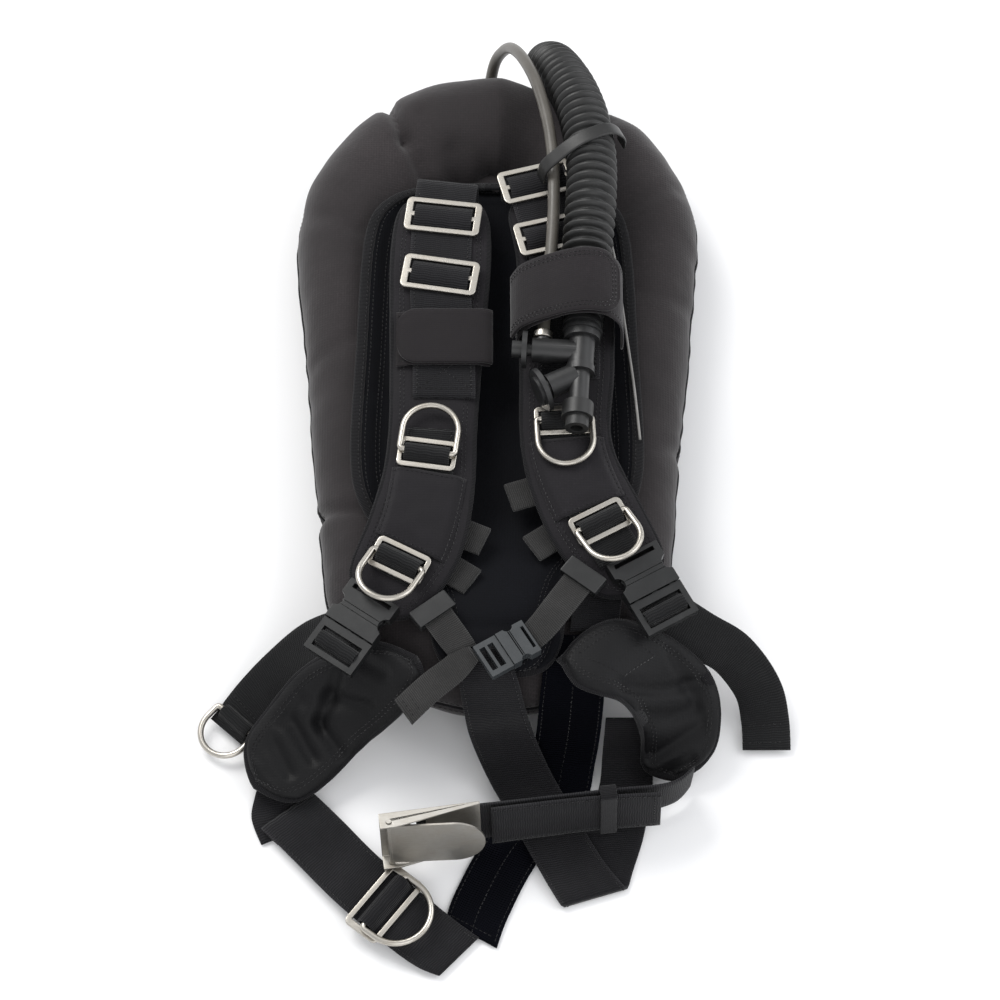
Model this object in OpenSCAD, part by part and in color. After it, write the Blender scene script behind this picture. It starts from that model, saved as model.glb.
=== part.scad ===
// Buoyancy compensator vest, lying on its back.
// +Z is up (the diver's front), +Y points to the head and +X to the wearer's left.
// The origin is on the floor, under the middle of the whole outline.

/* [Wing] */
// Half width of the tube's centre line at its widest
wing_half_w = 128; // [122:1:130]
// Rise of the centre line's top above its widest line
wing_top_rise = 131; // [128:1:134]
// Half width of the centre line where the lower curve starts
wing_low_half_w = 98; // [94:1:100]
// Depth of the lower curve below its start
wing_low_depth = 76; // [74:1:80]
// Radius of the inflated tube
wing_r = 42; // [40:0.5:42]
// Wall of the outer shell
shell_wall = 2; // [1.5:0.5:2.5]
// Wall of the inner bladder
bladder_wall = 1; // [0.8:0.1:1.5]

/* [Backplate] */
// Sheet thickness of the plate
plate_t = 4; // [3:0.5:4]
// Height of the plate's rear face above the floor
plate_z = 56; // [55:0.5:56]
// Distance between the two mounting holes
bolt_pitch = 279.4; // [279:0.1:280]
// Radius of the mounting holes
bolt_hole_r = 4.2; // [4:0.1:4.5]

/* [Webbing and pads] */
// Width of the wide webbing
wide_web = 50; // [48:1:50]
// Width of the narrow webbing
narrow_web = 38; // [36:1:38]
// Width of the chest strap
chest_web = 25; // [23:1:25]
// Thickness of all webbing
web_t = 1.8; // [1.6:0.1:1.8]
// Thickness of a shoulder pad
shoulder_t = 10; // [8:1:10]
// Thickness of a hip pad
hip_t = 16; // [12:1:16]
// Thickness of the back pad
back_t = 12; // [10:1:12]

/* [Hardware] */
// Wire radius of the D-rings
ring_r = 2.5; // [2.2:0.1:2.5]
// Thickness of the metal slides
slide_t = 3; // [2.4:0.2:3]
// Outer diameter of the corrugated hose
hose_d = 42; // [40:1:42]
// Outer diameter of the low-pressure hose
lp_d = 10; // [9:0.5:10]

/* [Hidden] */
$fn = 32;

cloth = "#2a282b";
webbing = "#343437";
plastic = "#1f1f21";
steel = "#b9b6ae";
rubber = "#2c2d2c";

// A key of a strip or tube is [x, y, z, across angle, across tilt, width, dip].
function unit(v) = v / norm(v);
function spline(p, q, r, s, t) =
  0.5 * (2 * q + (r - p) * t + (2 * p - 5 * q + 4 * r - s) * t * t + (3 * q - 3 * r + s - p) * t * t * t);
function smooth(keys, steps) = let (n = len(keys)) [
  for (i = [0:n - 2]) for (j = [0:steps - 1])
    spline(keys[max(i - 1, 0)], keys[i], keys[i + 1], keys[min(i + 2, n - 1)], j / steps),
  keys[n - 1]
];
function place_of(key) = [key[0], key[1], key[2]];
function across(key) = [
  cos(key[3]) * cos(key[4]),
  sin(key[3]) * cos(key[4]),
  sin(key[4])
];
function key_before(keys, i, closed) = closed ? keys[(i + len(keys) - 1) % len(keys)] : keys[max(i - 1, 0)];
function key_after(keys, i, closed) = closed ? keys[(i + 1) % len(keys)] : keys[min(i + 1, len(keys) - 1)];

// Flat webbing: four corners, each [across, up, dip share].
WEB_SECTION = [[-1, -1, 0], [1, -1, 0], [1, 1, 0], [-1, 1, 0]];
// A pad is full in its middle and thin at its bound edges.
function pad_top(u) = [u, sqrt(1 - 0.93 * pow(u, 4)), 1 - u * u];
function pad_bottom(u) = [u, -sqrt(1 - 0.93 * pow(u, 4)), 1 - u * u];
PAD_SECTION = [
  for (u = [-1, -0.7, 0, 0.7, 1]) pad_bottom(u),
  for (u = [1, 0.7, 0, -0.7, -1]) pad_top(u)
];

// Faces of a stack of rings, as triangles.
module ring_stack(rings, closed) {
  n = len(rings);
  m = len(rings[0]);
  last = closed ? n - 1 : n - 2;
  walls = [
    for (i = [0:last]) for (j = [0:m - 1])
      let (next = (i + 1) % n * m, a = i * m + j, b = i * m + (j + 1) % m)
      let (c = next + (j + 1) % m, d = next + j)
        each [[a, c, b], [a, d, c]]
  ];
  caps = closed ? [] : [
    [for (j = [0:m - 1]) j],
    [for (j = [m - 1:-1:0]) (n - 1) * m + j]
  ];
  polyhedron([for (ring = rings) each ring], concat(walls, caps));
}

// A strip that follows its keys, with a section scaled to each key's width and a thickness.
module strip(keys, thickness, section = WEB_SECTION, closed = false) {
  ring_stack([
    for (i = [0:len(keys) - 1])
      let (
        key = keys[i],
        along = unit(place_of(key_after(keys, i, closed)) - place_of(key_before(keys, i, closed))),
        up = unit(cross(along, across(key))),
        dip = len(key) > 6 ? key[6] : 0
      )
      [for (corner = section)
        place_of(key) + across(key) * corner[0] * key[5] / 2
          + up * (corner[1] * thickness / 2 - corner[2] * dip)]
  ], closed);
}

// A round tube through points.
module tube(points, radius, sides) {
  ring_stack([
    for (i = [0:len(points) - 1])
      let (
        along = unit(points[min(i + 1, len(points) - 1)] - points[max(i - 1, 0)]),
        side = unit(cross(along, [0.3, 0.2, 1])),
        up = cross(side, along)
      )
      [for (j = [0:sides - 1]) let (a = 360 * j / sides) points[i] + radius * (side * cos(a) - up * sin(a))]
  ], false);
}

// Puts children at a place, turned about Z and then pitched about their own X.
module put(at) {
  translate([at[0], at[1], at[2]]) rotate([0, 0, at[3]]) rotate([at[4], 0, 0]) children();
}

module rounded_rect(w, h, r) {
  square([w - 2 * r, h], center = true);
  square([w, h - 2 * r], center = true);
  for (x = [-1, 1]) for (y = [-1, 1]) translate([x * (w / 2 - r), y * (h / 2 - r)]) circle(r);
}

// ---- Wing -----------------------------------------------------------------
WING_WIDE_Y = 215;
WING_LOW_Y = -90;
// The tube lifts off the floor where the low-pressure hose passes under it.
LIFT_X = -6;
function hose_lift(x, y) = y < WING_WIDE_Y ? 0 : max(0, min(1, (38 - abs(x - LIFT_X)) / 22));
// It is pressed thinner where the corrugated hose lies over it.
DENT_X = 48;
function hose_dent(x, y) = y < WING_WIDE_Y ? 0 : max(0, 1 - pow((x - DENT_X) / 46, 2));
// At its top the tube spreads inwards, to the edge of the back pad.
top_spread = 0.8;
function inward_spread(y) = y < WING_WIDE_Y ? 0 : top_spread * (y - WING_WIDE_Y) / wing_top_rise;
// Stations of the centre line, each [x, y, outward x, outward y].
function arc_station(cx, cy, rx, ry, a) = let (out = unit([cos(a) / rx, sin(a) / ry]))
  [cx + rx * cos(a), cy + ry * sin(a), out[0], out[1]];
WING_STATIONS = [
  for (a = [0:10:180]) arc_station(0, WING_WIDE_Y, wing_half_w, wing_top_rise, a),
  for (t = [0.2:0.2:0.8]) [
    -wing_half_w + t * (wing_half_w - wing_low_half_w),
    WING_WIDE_Y + t * (WING_LOW_Y - WING_WIDE_Y), -1, 0
  ],
  for (a = [180:15:360]) arc_station(0, WING_LOW_Y, wing_low_half_w, wing_low_depth, a),
  for (t = [0.2:0.2:0.8]) [
    wing_low_half_w + t * (wing_half_w - wing_low_half_w),
    WING_LOW_Y + t * (WING_WIDE_Y - WING_LOW_Y), 1, 0
  ]
];

module wing_tube(inset) {
  ring_stack([
    for (s = WING_STATIONS)
      let (
        lift = hose_lift(s[0], s[1]),
        dent = hose_dent(s[0], s[1]),
        r = wing_r - 6 * lift - 7 * dent,
        zc = wing_r + 8 * lift - 7 * dent
      )
      [for (j = [0:13])
        let (a = -360 * j / 14, spread = cos(a) < 0 ? 1 + inward_spread(s[1]) : 1)
        let (reach = (r - inset) * cos(a) * spread)
        [s[0] + s[2] * reach, s[1] + s[3] * reach, zc + (r - inset) * sin(a)]]
  ], true);
}

PANEL_Z = 50;
PANEL_T = 3;
BAND_YS = [170, 20];
BAND_X = 55;
PLATE_MID_Y = 60;
SCREW_PLACES = [for (x = [-30, 30]) for (y = [100, -30]) [x, y]];
ELBOW_AT = [44, 0, 30];
ELBOW_SEAT_Y = 374.4;
ELBOW_PIPE_R = 12.6;
ELBOW_FLANGE_R = 17.6;
ELBOW_BEND_R = 18.5;
DUMP_AT = [-60, -128];
DUMP_R = 15.6;

// Room for the hose elbow at the top and the dump valve at the back.
module wing_ports() {
  translate([ELBOW_AT[0], ELBOW_SEAT_Y, ELBOW_AT[2]]) rotate([-90, 0, 0]) {
    translate([0, 0, -14.4]) cylinder(r = ELBOW_PIPE_R + 0.4, h = 60);
    cylinder(r = ELBOW_FLANGE_R + 0.4, h = 20);
  }
  translate([DUMP_AT[0], DUMP_AT[1], -1]) cylinder(r = DUMP_R + 0.4, h = 20);
}

module wing_shell() {
  color(cloth) difference() {
    union() {
      wing_tube(0);
      translate([0, 0, PANEL_Z]) linear_extrude(PANEL_T)
        polygon([for (s = WING_STATIONS) [s[0] * 0.9, s[1] * 0.9 + 4]]);
    }
    wing_tube(shell_wall);
    for (y = BAND_YS) for (x = [-BAND_X, BAND_X]) translate([x, y, PANEL_Z - 1])
      linear_extrude(PANEL_T + 2) square([12, wide_web + 6], center = true);
    for (y = [-1, 1])
      translate([0, PLATE_MID_Y + y * bolt_pitch / 2, PANEL_Z - 1]) cylinder(r = 9, h = PANEL_T + 2);
    for (p = SCREW_PLACES) translate([p[0], p[1], PANEL_Z - 1]) cylinder(r = 3.4, h = PANEL_T + 2);
    wing_ports();
  }
}

module air_bladder() {
  color("#4a4d52") difference() {
    wing_tube(shell_wall + 0.4);
    wing_tube(shell_wall + 0.4 + bladder_wall);
    wing_ports();
  }
}

// ---- Plate, screws and tank bands -----------------------------------------
module backplate() {
  outline = [
    [-42, 240], [42, 240], [74, 205], [72, 80], [64, -10], [52, -72], [34, -112],
    [-34, -112], [-52, -72], [-64, -10], [-72, 80], [-74, 205]
  ];
  color(steel) translate([0, 0, plate_z]) difference() {
    linear_extrude(plate_t) difference() {
      polygon(outline);
      for (y = BAND_YS)
        for (x = [-BAND_X, BAND_X]) translate([x, y]) square([8, wide_web + 4], center = true);
      for (x = [-1, 1]) translate([x * 40, 222]) rotate(x * -20) square([wide_web + 3, 7], center = true);
      for (x = [-1, 1]) translate([x * 44, -72]) rotate(x * 24) square([7, 40], center = true);
    }
    for (y = [-1, 1])
      translate([0, PLATE_MID_Y + y * bolt_pitch / 2, -1]) cylinder(r = bolt_hole_r, h = plate_t + 2);
    for (p = SCREW_PLACES) translate([p[0], p[1], -1]) cylinder(r = 3.1, h = plate_t + 2);
  }
}

module wing_screws() {
  color(steel) for (p = SCREW_PLACES) translate([p[0], p[1], 0]) {
    translate([0, 0, plate_z + plate_t]) cylinder(r = 7, h = 2);
    translate([0, 0, PANEL_Z - 2]) cylinder(r = 3, h = plate_z + plate_t + 3 - PANEL_Z);
    translate([0, 0, PANEL_Z - 2]) cylinder(r = 7, h = 2);
  }
}

// Each band crosses the plate's front, drops through its slots and hangs below.
BAND_TOP = plate_z + plate_t + 1.6;
function band_keys(y) = [
  for (p = [
    [0, BAND_TOP], [50, BAND_TOP], [53.5, BAND_TOP - 1.5], [BAND_X, BAND_TOP - 5], [BAND_X + 1, 48],
    [50, 40], [28, 36], [-28, 36], [-50, 40],
    [-BAND_X - 1, 48], [-BAND_X, BAND_TOP - 5], [-53.5, BAND_TOP - 1.5], [-50, BAND_TOP]
  ]) [p[0], y, p[1], 90, 0, wide_web - 1]
];

module cam_bands() {
  color(webbing) for (y = BAND_YS) strip(band_keys(y), web_t, closed = true);
}

CAM_Z = 28;
module cam_buckles() {
  color(plastic) for (y = BAND_YS) translate([0, y, CAM_Z]) difference() {
    translate([-34, -30, -2]) cube([68, 60, 8]);
    translate([-20, -25.5, -3]) cube([40, 51, 6]);
    translate([-31, -26, -3]) cube([5, 52, 10]);
    translate([-15, -31, 0]) rotate([-90, 0, 0]) cylinder(r = 2.06, h = 62);
  }
}

module cam_lever(y) {
  color(plastic) translate([-15, y, CAM_Z]) {
    rotate([-90, 0, 0]) translate([0, 0, -29.5]) cylinder(r = 2, h = 59);
    translate([0, -25, -4.4]) cube([33, 50, 3.6]);
    translate([-2, -25, -4.4]) cube([4, 50, 5]);
  }
}

module upper_cam_lever() { cam_lever(BAND_YS[0]); }
module lower_cam_lever() { cam_lever(BAND_YS[1]); }

// ---- Pads -----------------------------------------------------------------
BACK_KEYS = [
  [0, 254, 86, 0, 0, 100, 8],
  [0, 240, 91, 0, 0, 172, 18],
  [0, 205, 93, 0, 0, 214, 22],
  [0, 90, 93, 0, 0, 226, 22],
  [0, -20, 93, 0, 0, 230, 22],
  [0, -70, 92, 0, 0, 190, 18],
  [0, -105, 91, 0, 0, 130, 8],
  [0, -140, 91, 0, 0, 108, 0],
  [0, -172, 91, 0, 0, 98, 0],
  [0, -194, 85, 0, 0, 76, 0]
];
module back_pad() { color(cloth) strip(smooth(BACK_KEYS, 2), back_t, PAD_SECTION); }

RIGHT_PAD_KEYS = [
  [-47, 232, 106, 2, 0, 50],
  [-45, 212, 109, 0, 0, 72],
  [-46, 165, 111, 0, 0, 80],
  [-49, 70, 111, -2, 0, 72],
  [-51, 8, 111, -4, 0, 68],
  [-54, -38, 110, -12, 0, 72],
  [-64, -84, 106.5, -24, 0, 78],
  [-82, -120, 99, -32, 0, 72],
  [-96, -141, 92, -36, 0, 54]
];
LEFT_PAD_KEYS = [
  [42, 232, 106, 0, 0, 62],
  [48, 212, 109, 4, 0, 76],
  [55, 165, 111, 2, 0, 76],
  [56, 70, 111, 0, 0, 74],
  [54, 8, 111, 3, 0, 70],
  [60, -28, 110, 14, 0, 72],
  [76, -68, 107, 25, 0, 76],
  [97, -104, 100.5, 31, 0, 70],
  [112, -125, 95, 33, 0, 56]
];
module right_shoulder_pad() { color(cloth) strip(smooth(RIGHT_PAD_KEYS, 3), shoulder_t, PAD_SECTION); }
module left_shoulder_pad() { color(cloth) strip(smooth(LEFT_PAD_KEYS, 3), shoulder_t, PAD_SECTION); }

RIGHT_HIP_KEYS = [
  [-64, -186, 93, -44, 0, 36],
  [-80, -188, 87, -42, -3, 58],
  [-104, -194, 66, -44, -10, 72],
  [-130, -204, 44, -48, -16, 76],
  [-154, -226, 29, -50, -14, 74],
  [-176, -246, 20, -50, -8, 64],
  [-188, -256, 17, -50, -3, 40]
];
LEFT_HIP_KEYS = [
  [50, -187, 96, 82, 0, 20],
  [66, -186, 97, 80, 0, 46],
  [86, -184, 96, 78, 0, 64],
  [106, -186, 88, 72, 3, 64],
  [126, -193, 70, 58, 8, 68],
  [141, -206, 49, 40, 10, 72],
  [144, -224, 32, 20, 8, 64],
  [140, -241, 20, 8, 2, 54],
  [137, -249, 16, 4, 0, 38]
];
module right_hip_pad() { color(cloth) strip(smooth(RIGHT_HIP_KEYS, 3), hip_t, PAD_SECTION); }
module left_hip_pad() { color(cloth) strip(smooth(LEFT_HIP_KEYS, 3), hip_t, PAD_SECTION); }

// ---- Shoulder webbing and slides --------------------------------------------
// A loop of webbing over a bar, standing on the strap below it.
module web_arch(width, rise) {
  inner = 2.8;
  rotate([90, 0, 90]) translate([0, 0, -width / 2]) linear_extrude(width) difference() {
    union() {
      translate([0, rise]) circle(inner + 1.6);
      translate([-inner - 1.6, -1.2]) square([2 * inner + 3.2, rise + 1.2]);
    }
    translate([0, rise]) circle(inner);
    translate([-inner, -2]) square([2 * inner, rise + 2]);
  }
}

// A three-bar slide, lying on its strap.
module slide_plate(w, h, side) {
  translate([0, 0, 0.2]) linear_extrude(slide_t) difference() {
    rounded_rect(w, h, 5);
    for (y = [-1, 1]) translate([0, y * (h - 4.6) / 4]) square([w - 2 * side, (h - 13) / 2], center = true);
  }
}

PAD_TOP = shoulder_t / 2 + web_t + 0.4;
WIDE_SLIDES = [
  [-44, 203, 117.9, -7, -1.5],
  [-46, 147, 118.7, -9, -0.8],
  [33, 238, 116.8, 15, -2],
  [46, 187, 118, 14, -1.3]
];
WAIST_SLIDE = [-87, -355, 11.6, 52, 0];

RIGHT_WEB_KEYS = [
  [-40, 226, 96, -6, 0, 50],
  [-40, 240, 102, -7, 0, 50],
  [-40.5, 241, 112, -7, 0, 50],
  [-42, 226, 115.6, -7, 0, 50],
  [-44, 203, 116.7, -7, 0, 50],
  [-46, 147, 117.5, -8, 0, 50],
  [-43, 88, 117.5, -3, 0, 50],
  [-42, 34, 117.5, 0, 0, 50]
];
LEFT_WEB_KEYS = [
  [28, 240, 94, 14, 0, 50],
  [27, 254, 100, 15, 0, 50],
  [28, 257, 110, 15, 0, 50],
  [33, 238, 115.5, 15, 0, 50],
  [46, 187, 116.7, 14, 0, 50],
  [54, 150, 117.5, 8, 0, 50],
  [57, 80, 117.5, 0, 0, 50],
  [57, 52, 117.5, 0, 0, 50]
];
module right_shoulder_webbing() {
  color(webbing) union() {
    strip(smooth(RIGHT_WEB_KEYS, 3), web_t);
    for (i = [0, 1]) put(WIDE_SLIDES[i]) web_arch(44, 1.8);
  }
}

module left_shoulder_webbing() {
  color(webbing) union() {
    strip(smooth(LEFT_WEB_KEYS, 3), web_t);
    for (i = [2, 3]) put(WIDE_SLIDES[i]) web_arch(44, 1.8);
  }
}

module wide_slides() {
  color(steel) for (s = concat(WIDE_SLIDES, [WAIST_SLIDE])) put(s) slide_plate(62, 32, 5.5);
}

// Chest webbing lies on each pad, and its D-rings stand over narrow slides.
// Each place is [x, y, z of the strap's top face, turn, pitch].
RIGHT_UPPER = [-55, -18, 118.2, -8, 2];
RIGHT_LOWER = [-76, -108, 109.4, -28, 10.5];
LEFT_UPPER = [53, 12, 118.4, 3, 0];
LEFT_LOWER = [80.5, -76, 113.4, 29, 8.5];
RING_RISE = slide_t + 0.2 + ring_r + 0.3;
RING_HALF_W = 22;
RING_LEG = 19;
RING_WEB = 36;

function raised(keys, first, width, short) = [
  for (i = [first:len(keys) - 1 - short])
    let (k = keys[i]) [k[0], k[1], k[2] + PAD_TOP - web_t / 2, k[3], k[4], width]
];
RIGHT_CHEST_KEYS = concat(
  [[-52, 6, 117.3, -4, 0, 38]],
  raised(RIGHT_PAD_KEYS, 5, narrow_web, 1)
);
LEFT_CHEST_KEYS = concat(
  [[54, 30, 117.3, 2, 0, 38], [54, 8, 117.3, 3, 0, 38]],
  raised(LEFT_PAD_KEYS, 5, narrow_web, 1)
);
module right_chest_webbing() {
  color(webbing) union() {
    strip(smooth(RIGHT_CHEST_KEYS, 3), web_t);
    for (p = [RIGHT_UPPER, RIGHT_LOWER]) put(p) web_arch(RING_WEB, RING_RISE);
  }
}

module left_chest_webbing() {
  color(webbing) union() {
    strip(smooth(LEFT_CHEST_KEYS, 3), web_t);
    for (p = [LEFT_UPPER, LEFT_LOWER]) put(p) web_arch(RING_WEB, RING_RISE);
  }
}

module narrow_slides() {
  color(steel) for (p = [RIGHT_UPPER, RIGHT_LOWER, LEFT_UPPER, LEFT_LOWER]) put(p) slide_plate(47, 26, 4);
}

// ---- D-rings ----------------------------------------------------------------
// The straight bar is the pivot; the bow reaches down its own -Y.
module d_ring(half_w, leg) {
  color(steel) union() {
    rotate([0, 90, 0]) translate([0, 0, -half_w]) cylinder(r = ring_r, h = 2 * half_w);
    for (x = [-1, 1]) translate([x * half_w, 0, 0]) {
      sphere(ring_r);
      rotate([90, 0, 0]) cylinder(r = ring_r, h = leg);
    }
    translate([0, -leg, 0]) rotate([0, 0, 180])
      rotate_extrude(angle = 180) translate([half_w, 0]) circle(ring_r);
  }
}

module hung_ring(at, half_w, leg, flip, lean) {
  put(at) translate([0, 0, RING_RISE]) rotate([-lean, 0, flip]) d_ring(half_w, leg);
}

module right_upper_d_ring() { hung_ring(RIGHT_UPPER, RING_HALF_W, RING_LEG, 180, 0); }
module right_lower_d_ring() { hung_ring(RIGHT_LOWER, RING_HALF_W, RING_LEG, 0, 22); }
module left_upper_d_ring() { hung_ring(LEFT_UPPER, RING_HALF_W, RING_LEG, 0, 0); }
module left_lower_d_ring() { hung_ring(LEFT_LOWER, RING_HALF_W, RING_LEG, 0, 20); }
module waist_d_ring() { hung_ring(WAIST_SLIDE, 27, 12, 0, 0); }

// ---- Keepers ----------------------------------------------------------------
function arch_keys(points, y, width) = [for (p = points) [p[0], y, p[1], 90, 0, width]];
RIGHT_KEEPER_Y = 88;
module right_keeper() {
  points = [
    [-81, 117.2], [-75, 118.2], [-69, 120.4], [-48, 120.8], [-17, 120.4], [-11, 118.2], [-5.5, 117.2]
  ];
  color(cloth) strip(smooth(arch_keys(points, RIGHT_KEEPER_Y, 50), 2), 2);
}

module right_keeper_flap() {
  keys = [
    [-4, 88, 120.6, 90, 0, 50], [-10, 88, 123.4, 90, 0, 50], [-30, 88, 123.8, 90, 0, 50],
    [-58, 88, 123.8, 90, 0, 50], [-74, 88, 123.6, 90, 0, 42], [-80, 88, 123.2, 90, 0, 24]
  ];
  color(cloth) strip(smooth(keys, 2), 3);
}

HOSE_KEEPER_Y = 112;
module hose_keeper() {
  points = [
    [16, 110], [17, 126], [23, 141], [33, 151], [45, 159], [57, 165.5], [72, 168], [86, 164], [96, 152],
    [99.5, 138], [100.5, 122], [100, 110]
  ];
  color(cloth) strip(smooth(arch_keys(points, HOSE_KEEPER_Y, 58), 2), 2);
}

module hose_keeper_flap() {
  keys = [
    [12, 112, 128, 90, 0, 58], [18, 112, 143, 90, 0, 58], [29, 112, 154, 90, 0, 58],
    [42, 112, 162, 90, 0, 58], [56, 112, 169, 90, 0, 58], [72, 112, 172.5, 90, 0, 58],
    [86, 112, 169, 90, 0, 50], [95, 112, 163, 90, 0, 30]
  ];
  color(cloth) strip(smooth(keys, 2), 3);
}

// ---- Side-release buckles -----------------------------------------------------
// The buckle's own -Y runs from the socket to the plug.
RIGHT_BUCKLE = [-112, -163, 104.5, -35, 9];
LEFT_BUCKLE = [120, -133, 110.5, 30, 7];
module buckle_socket(w, t, reach) {
  color(plastic) difference() {
    translate([-w / 2, -reach * 0.1, -t / 2]) cube([w, reach, t]);
    translate([-w / 2 + 3.4, -reach * 0.1 - 1, -t / 2 + 2.2]) cube([w - 6.8, reach * 0.72 + 1, t - 4.4]);
    for (x = [-1, 1]) translate([x * (w / 2 + 1), reach * 0.36, -t]) cylinder(r = w * 0.14, h = 2 * t);
    translate([-w / 2 + 5, reach * 0.72, -t]) cube([w - 10, reach * 0.1, 2 * t]);
  }
}

module buckle_plug(w, t, reach) {
  prong_h = t - 5;
  color(plastic) union() {
    for (x = [-1, 1]) translate([x * (w / 2 - 7), 0, -prong_h / 2]) {
      translate([-2.2, -reach * 0.14, 0]) cube([4.4, reach * 0.56, prong_h]);
      translate([0, reach * 0.42, 0]) cylinder(r = 3.2, h = prong_h);
    }
    translate([-2.5, -reach * 0.14, -prong_h / 2]) cube([5, reach * 0.5, prong_h]);
    translate([0, -reach * 0.52, 0]) difference() {
      translate([-w / 2, -reach * 0.4, -t * 0.34]) cube([w, reach * 0.8, t * 0.68]);
      for (y = [-0.28, 0.02]) translate([-w / 2 + 4.5, reach * y, -t]) cube([w - 9, reach * 0.2, 2 * t]);
    }
  }
}

module right_buckle_socket() { put(RIGHT_BUCKLE) buckle_socket(45, 12, 36); }
module right_buckle_plug() { put(RIGHT_BUCKLE) buckle_plug(45, 12, 36); }
module left_buckle_socket() { put(LEFT_BUCKLE) buckle_socket(45, 12, 36); }
module left_buckle_plug() { put(LEFT_BUCKLE) buckle_plug(45, 12, 36); }

RIGHT_TAIL_KEYS = [
  [-104, -147, 83, -98, -6, 38],
  [-124, -150, 70, -88, -10, 38],
  [-150, -152, 48, -80, -14, 38],
  [-174, -166, 28, -66, -10, 38],
  [-194, -184, 14, -52, -4, 38],
  [-208, -202, 8, -44, 0, 38],
  [-213, -208, 6.5, -42, 0, 38]
];
LEFT_TAIL_KEYS = [
  [118, -128, 86, 60, 0, 38],
  [138, -140, 78, 58, 8, 38],
  [161, -150, 64, 60, 20, 38],
  [186, -158, 46, 44, 24, 38],
  [206, -178, 26, 14, 18, 38],
  [212, -200, 13, 4, 6, 38],
  [213, -222, 5, 0, 0, 38]
];
module right_strap_tail() {
  color(webbing) union() {
    strip(smooth(RIGHT_TAIL_KEYS, 3), web_t);
    put(TAIL_RING) web_arch(30, TAIL_RISE);
  }
}

module left_strap_tail() { color(webbing) strip(smooth(LEFT_TAIL_KEYS, 3), web_t); }
TAIL_RING = [-206, -199.5, 9.3, -44, 8];
TAIL_RISE = ring_r + 0.4;
module tail_d_ring() { put(TAIL_RING) translate([0, 0, TAIL_RISE]) d_ring(20, 12); }

// ---- Chest strap ----------------------------------------------------------------
module strap_tabs() {
  tabs = [[-21, -80, 98, -24], [-29.5, -113, 97, -34], [22, -42, 98, 18], [38, -84, 98, 34]];
  color("#4b4a4c") for (t = tabs) translate([t[0], t[1], t[2]]) rotate([0, 0, t[3]])
    cube([26, chest_web, 4], center = true);
}

RIGHT_STERNUM_KEEPER = [-50, -149, 106, 37, 0];
LEFT_STERNUM_KEEPER = [67, -122.5, 112.4, -38, 0];
module sternum_keepers() {
  color(plastic) for (k = [RIGHT_STERNUM_KEEPER, LEFT_STERNUM_KEEPER]) put(k) difference() {
    translate([-17, -8, -4]) cube([34, 16, 8]);
    translate([-13.5, -9, -1.5]) cube([27, 18, 3]);
  }
}

RIGHT_STERNUM_KEYS = [
  [-55, -142, 106, 37, 0, 25],
  [-46, -154, 106, 37, 0, 25],
  [-36, -168, 104, 32, 0, 25],
  [-27, -181, 102.4, 22, 0, 24]
];
LEFT_STERNUM_KEYS = [
  [72, -116, 112.4, -38, 0, 25],
  [62, -128.6, 112.4, -38, 0, 25],
  [50, -145, 112, -42, 0, 25],
  [37, -162, 110, -52, 0, 25],
  [27.2, -172.2, 108, -59, 0, 24]
];
STERNUM_TAIL_KEYS = [
  [-20, -180, 102.4, -59, 0, 24],
  [-32, -196, 102, -59, 0, 24],
  [-52, -212, 99, -56, -6, 24],
  [-72, -230, 93, -54, -10, 24]
];
module right_sternum_strap() {
  color("#4b4a4c") union() {
    strip(smooth(RIGHT_STERNUM_KEYS, 3), web_t);
    strip(smooth(STERNUM_TAIL_KEYS, 3), web_t);
  }
}

module left_sternum_strap() { color("#4b4a4c") strip(smooth(LEFT_STERNUM_KEYS, 3), web_t); }
STERNUM_BUCKLE = [8, -184, 108, -59, 0];
module sternum_socket() { put(STERNUM_BUCKLE) buckle_socket(30, 9, 24); }
module sternum_plug() { put(STERNUM_BUCKLE) buckle_plug(30, 9, 24); }

// ---- Waist, crotch and loop webbing ------------------------------------------------
RIGHT_WAIST_KEYS = [
  [-152, -288, 4.2, 38, 0, 48],
  [-160, -279, 4.2, 37, 0, 50],
  [-164.5, -274.5, 6.1, 37, 0, 50],
  [-160, -279, 8, 38, 0, 50],
  [-138, -302, 8.6, 44, 0, 50],
  [-108, -334, 10.2, 50, 0, 50],
  [-70, -368, 10.2, 51, 0, 50],
  [-46, -386, 6.5, 49, 0, 48],
  [-29, -395, 4, 46, 0, 44]
];
WAIST_RETURN_KEYS = [
  [-166, -240, 8, 20, 0, 42],
  [-169, -258, 5, 14, 0, 44],
  [-170, -274, 1.8, 14, 0, 46],
  [-163, -292, 1.4, 24, 0, 46]
];
module right_waist_webbing() {
  color(webbing) union() {
    strip(smooth(RIGHT_WAIST_KEYS, 3), web_t);
    strip(smooth(WAIST_RETURN_KEYS, 3), web_t);
    put(WAIST_SLIDE) web_arch(48, RING_RISE);
  }
}

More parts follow.
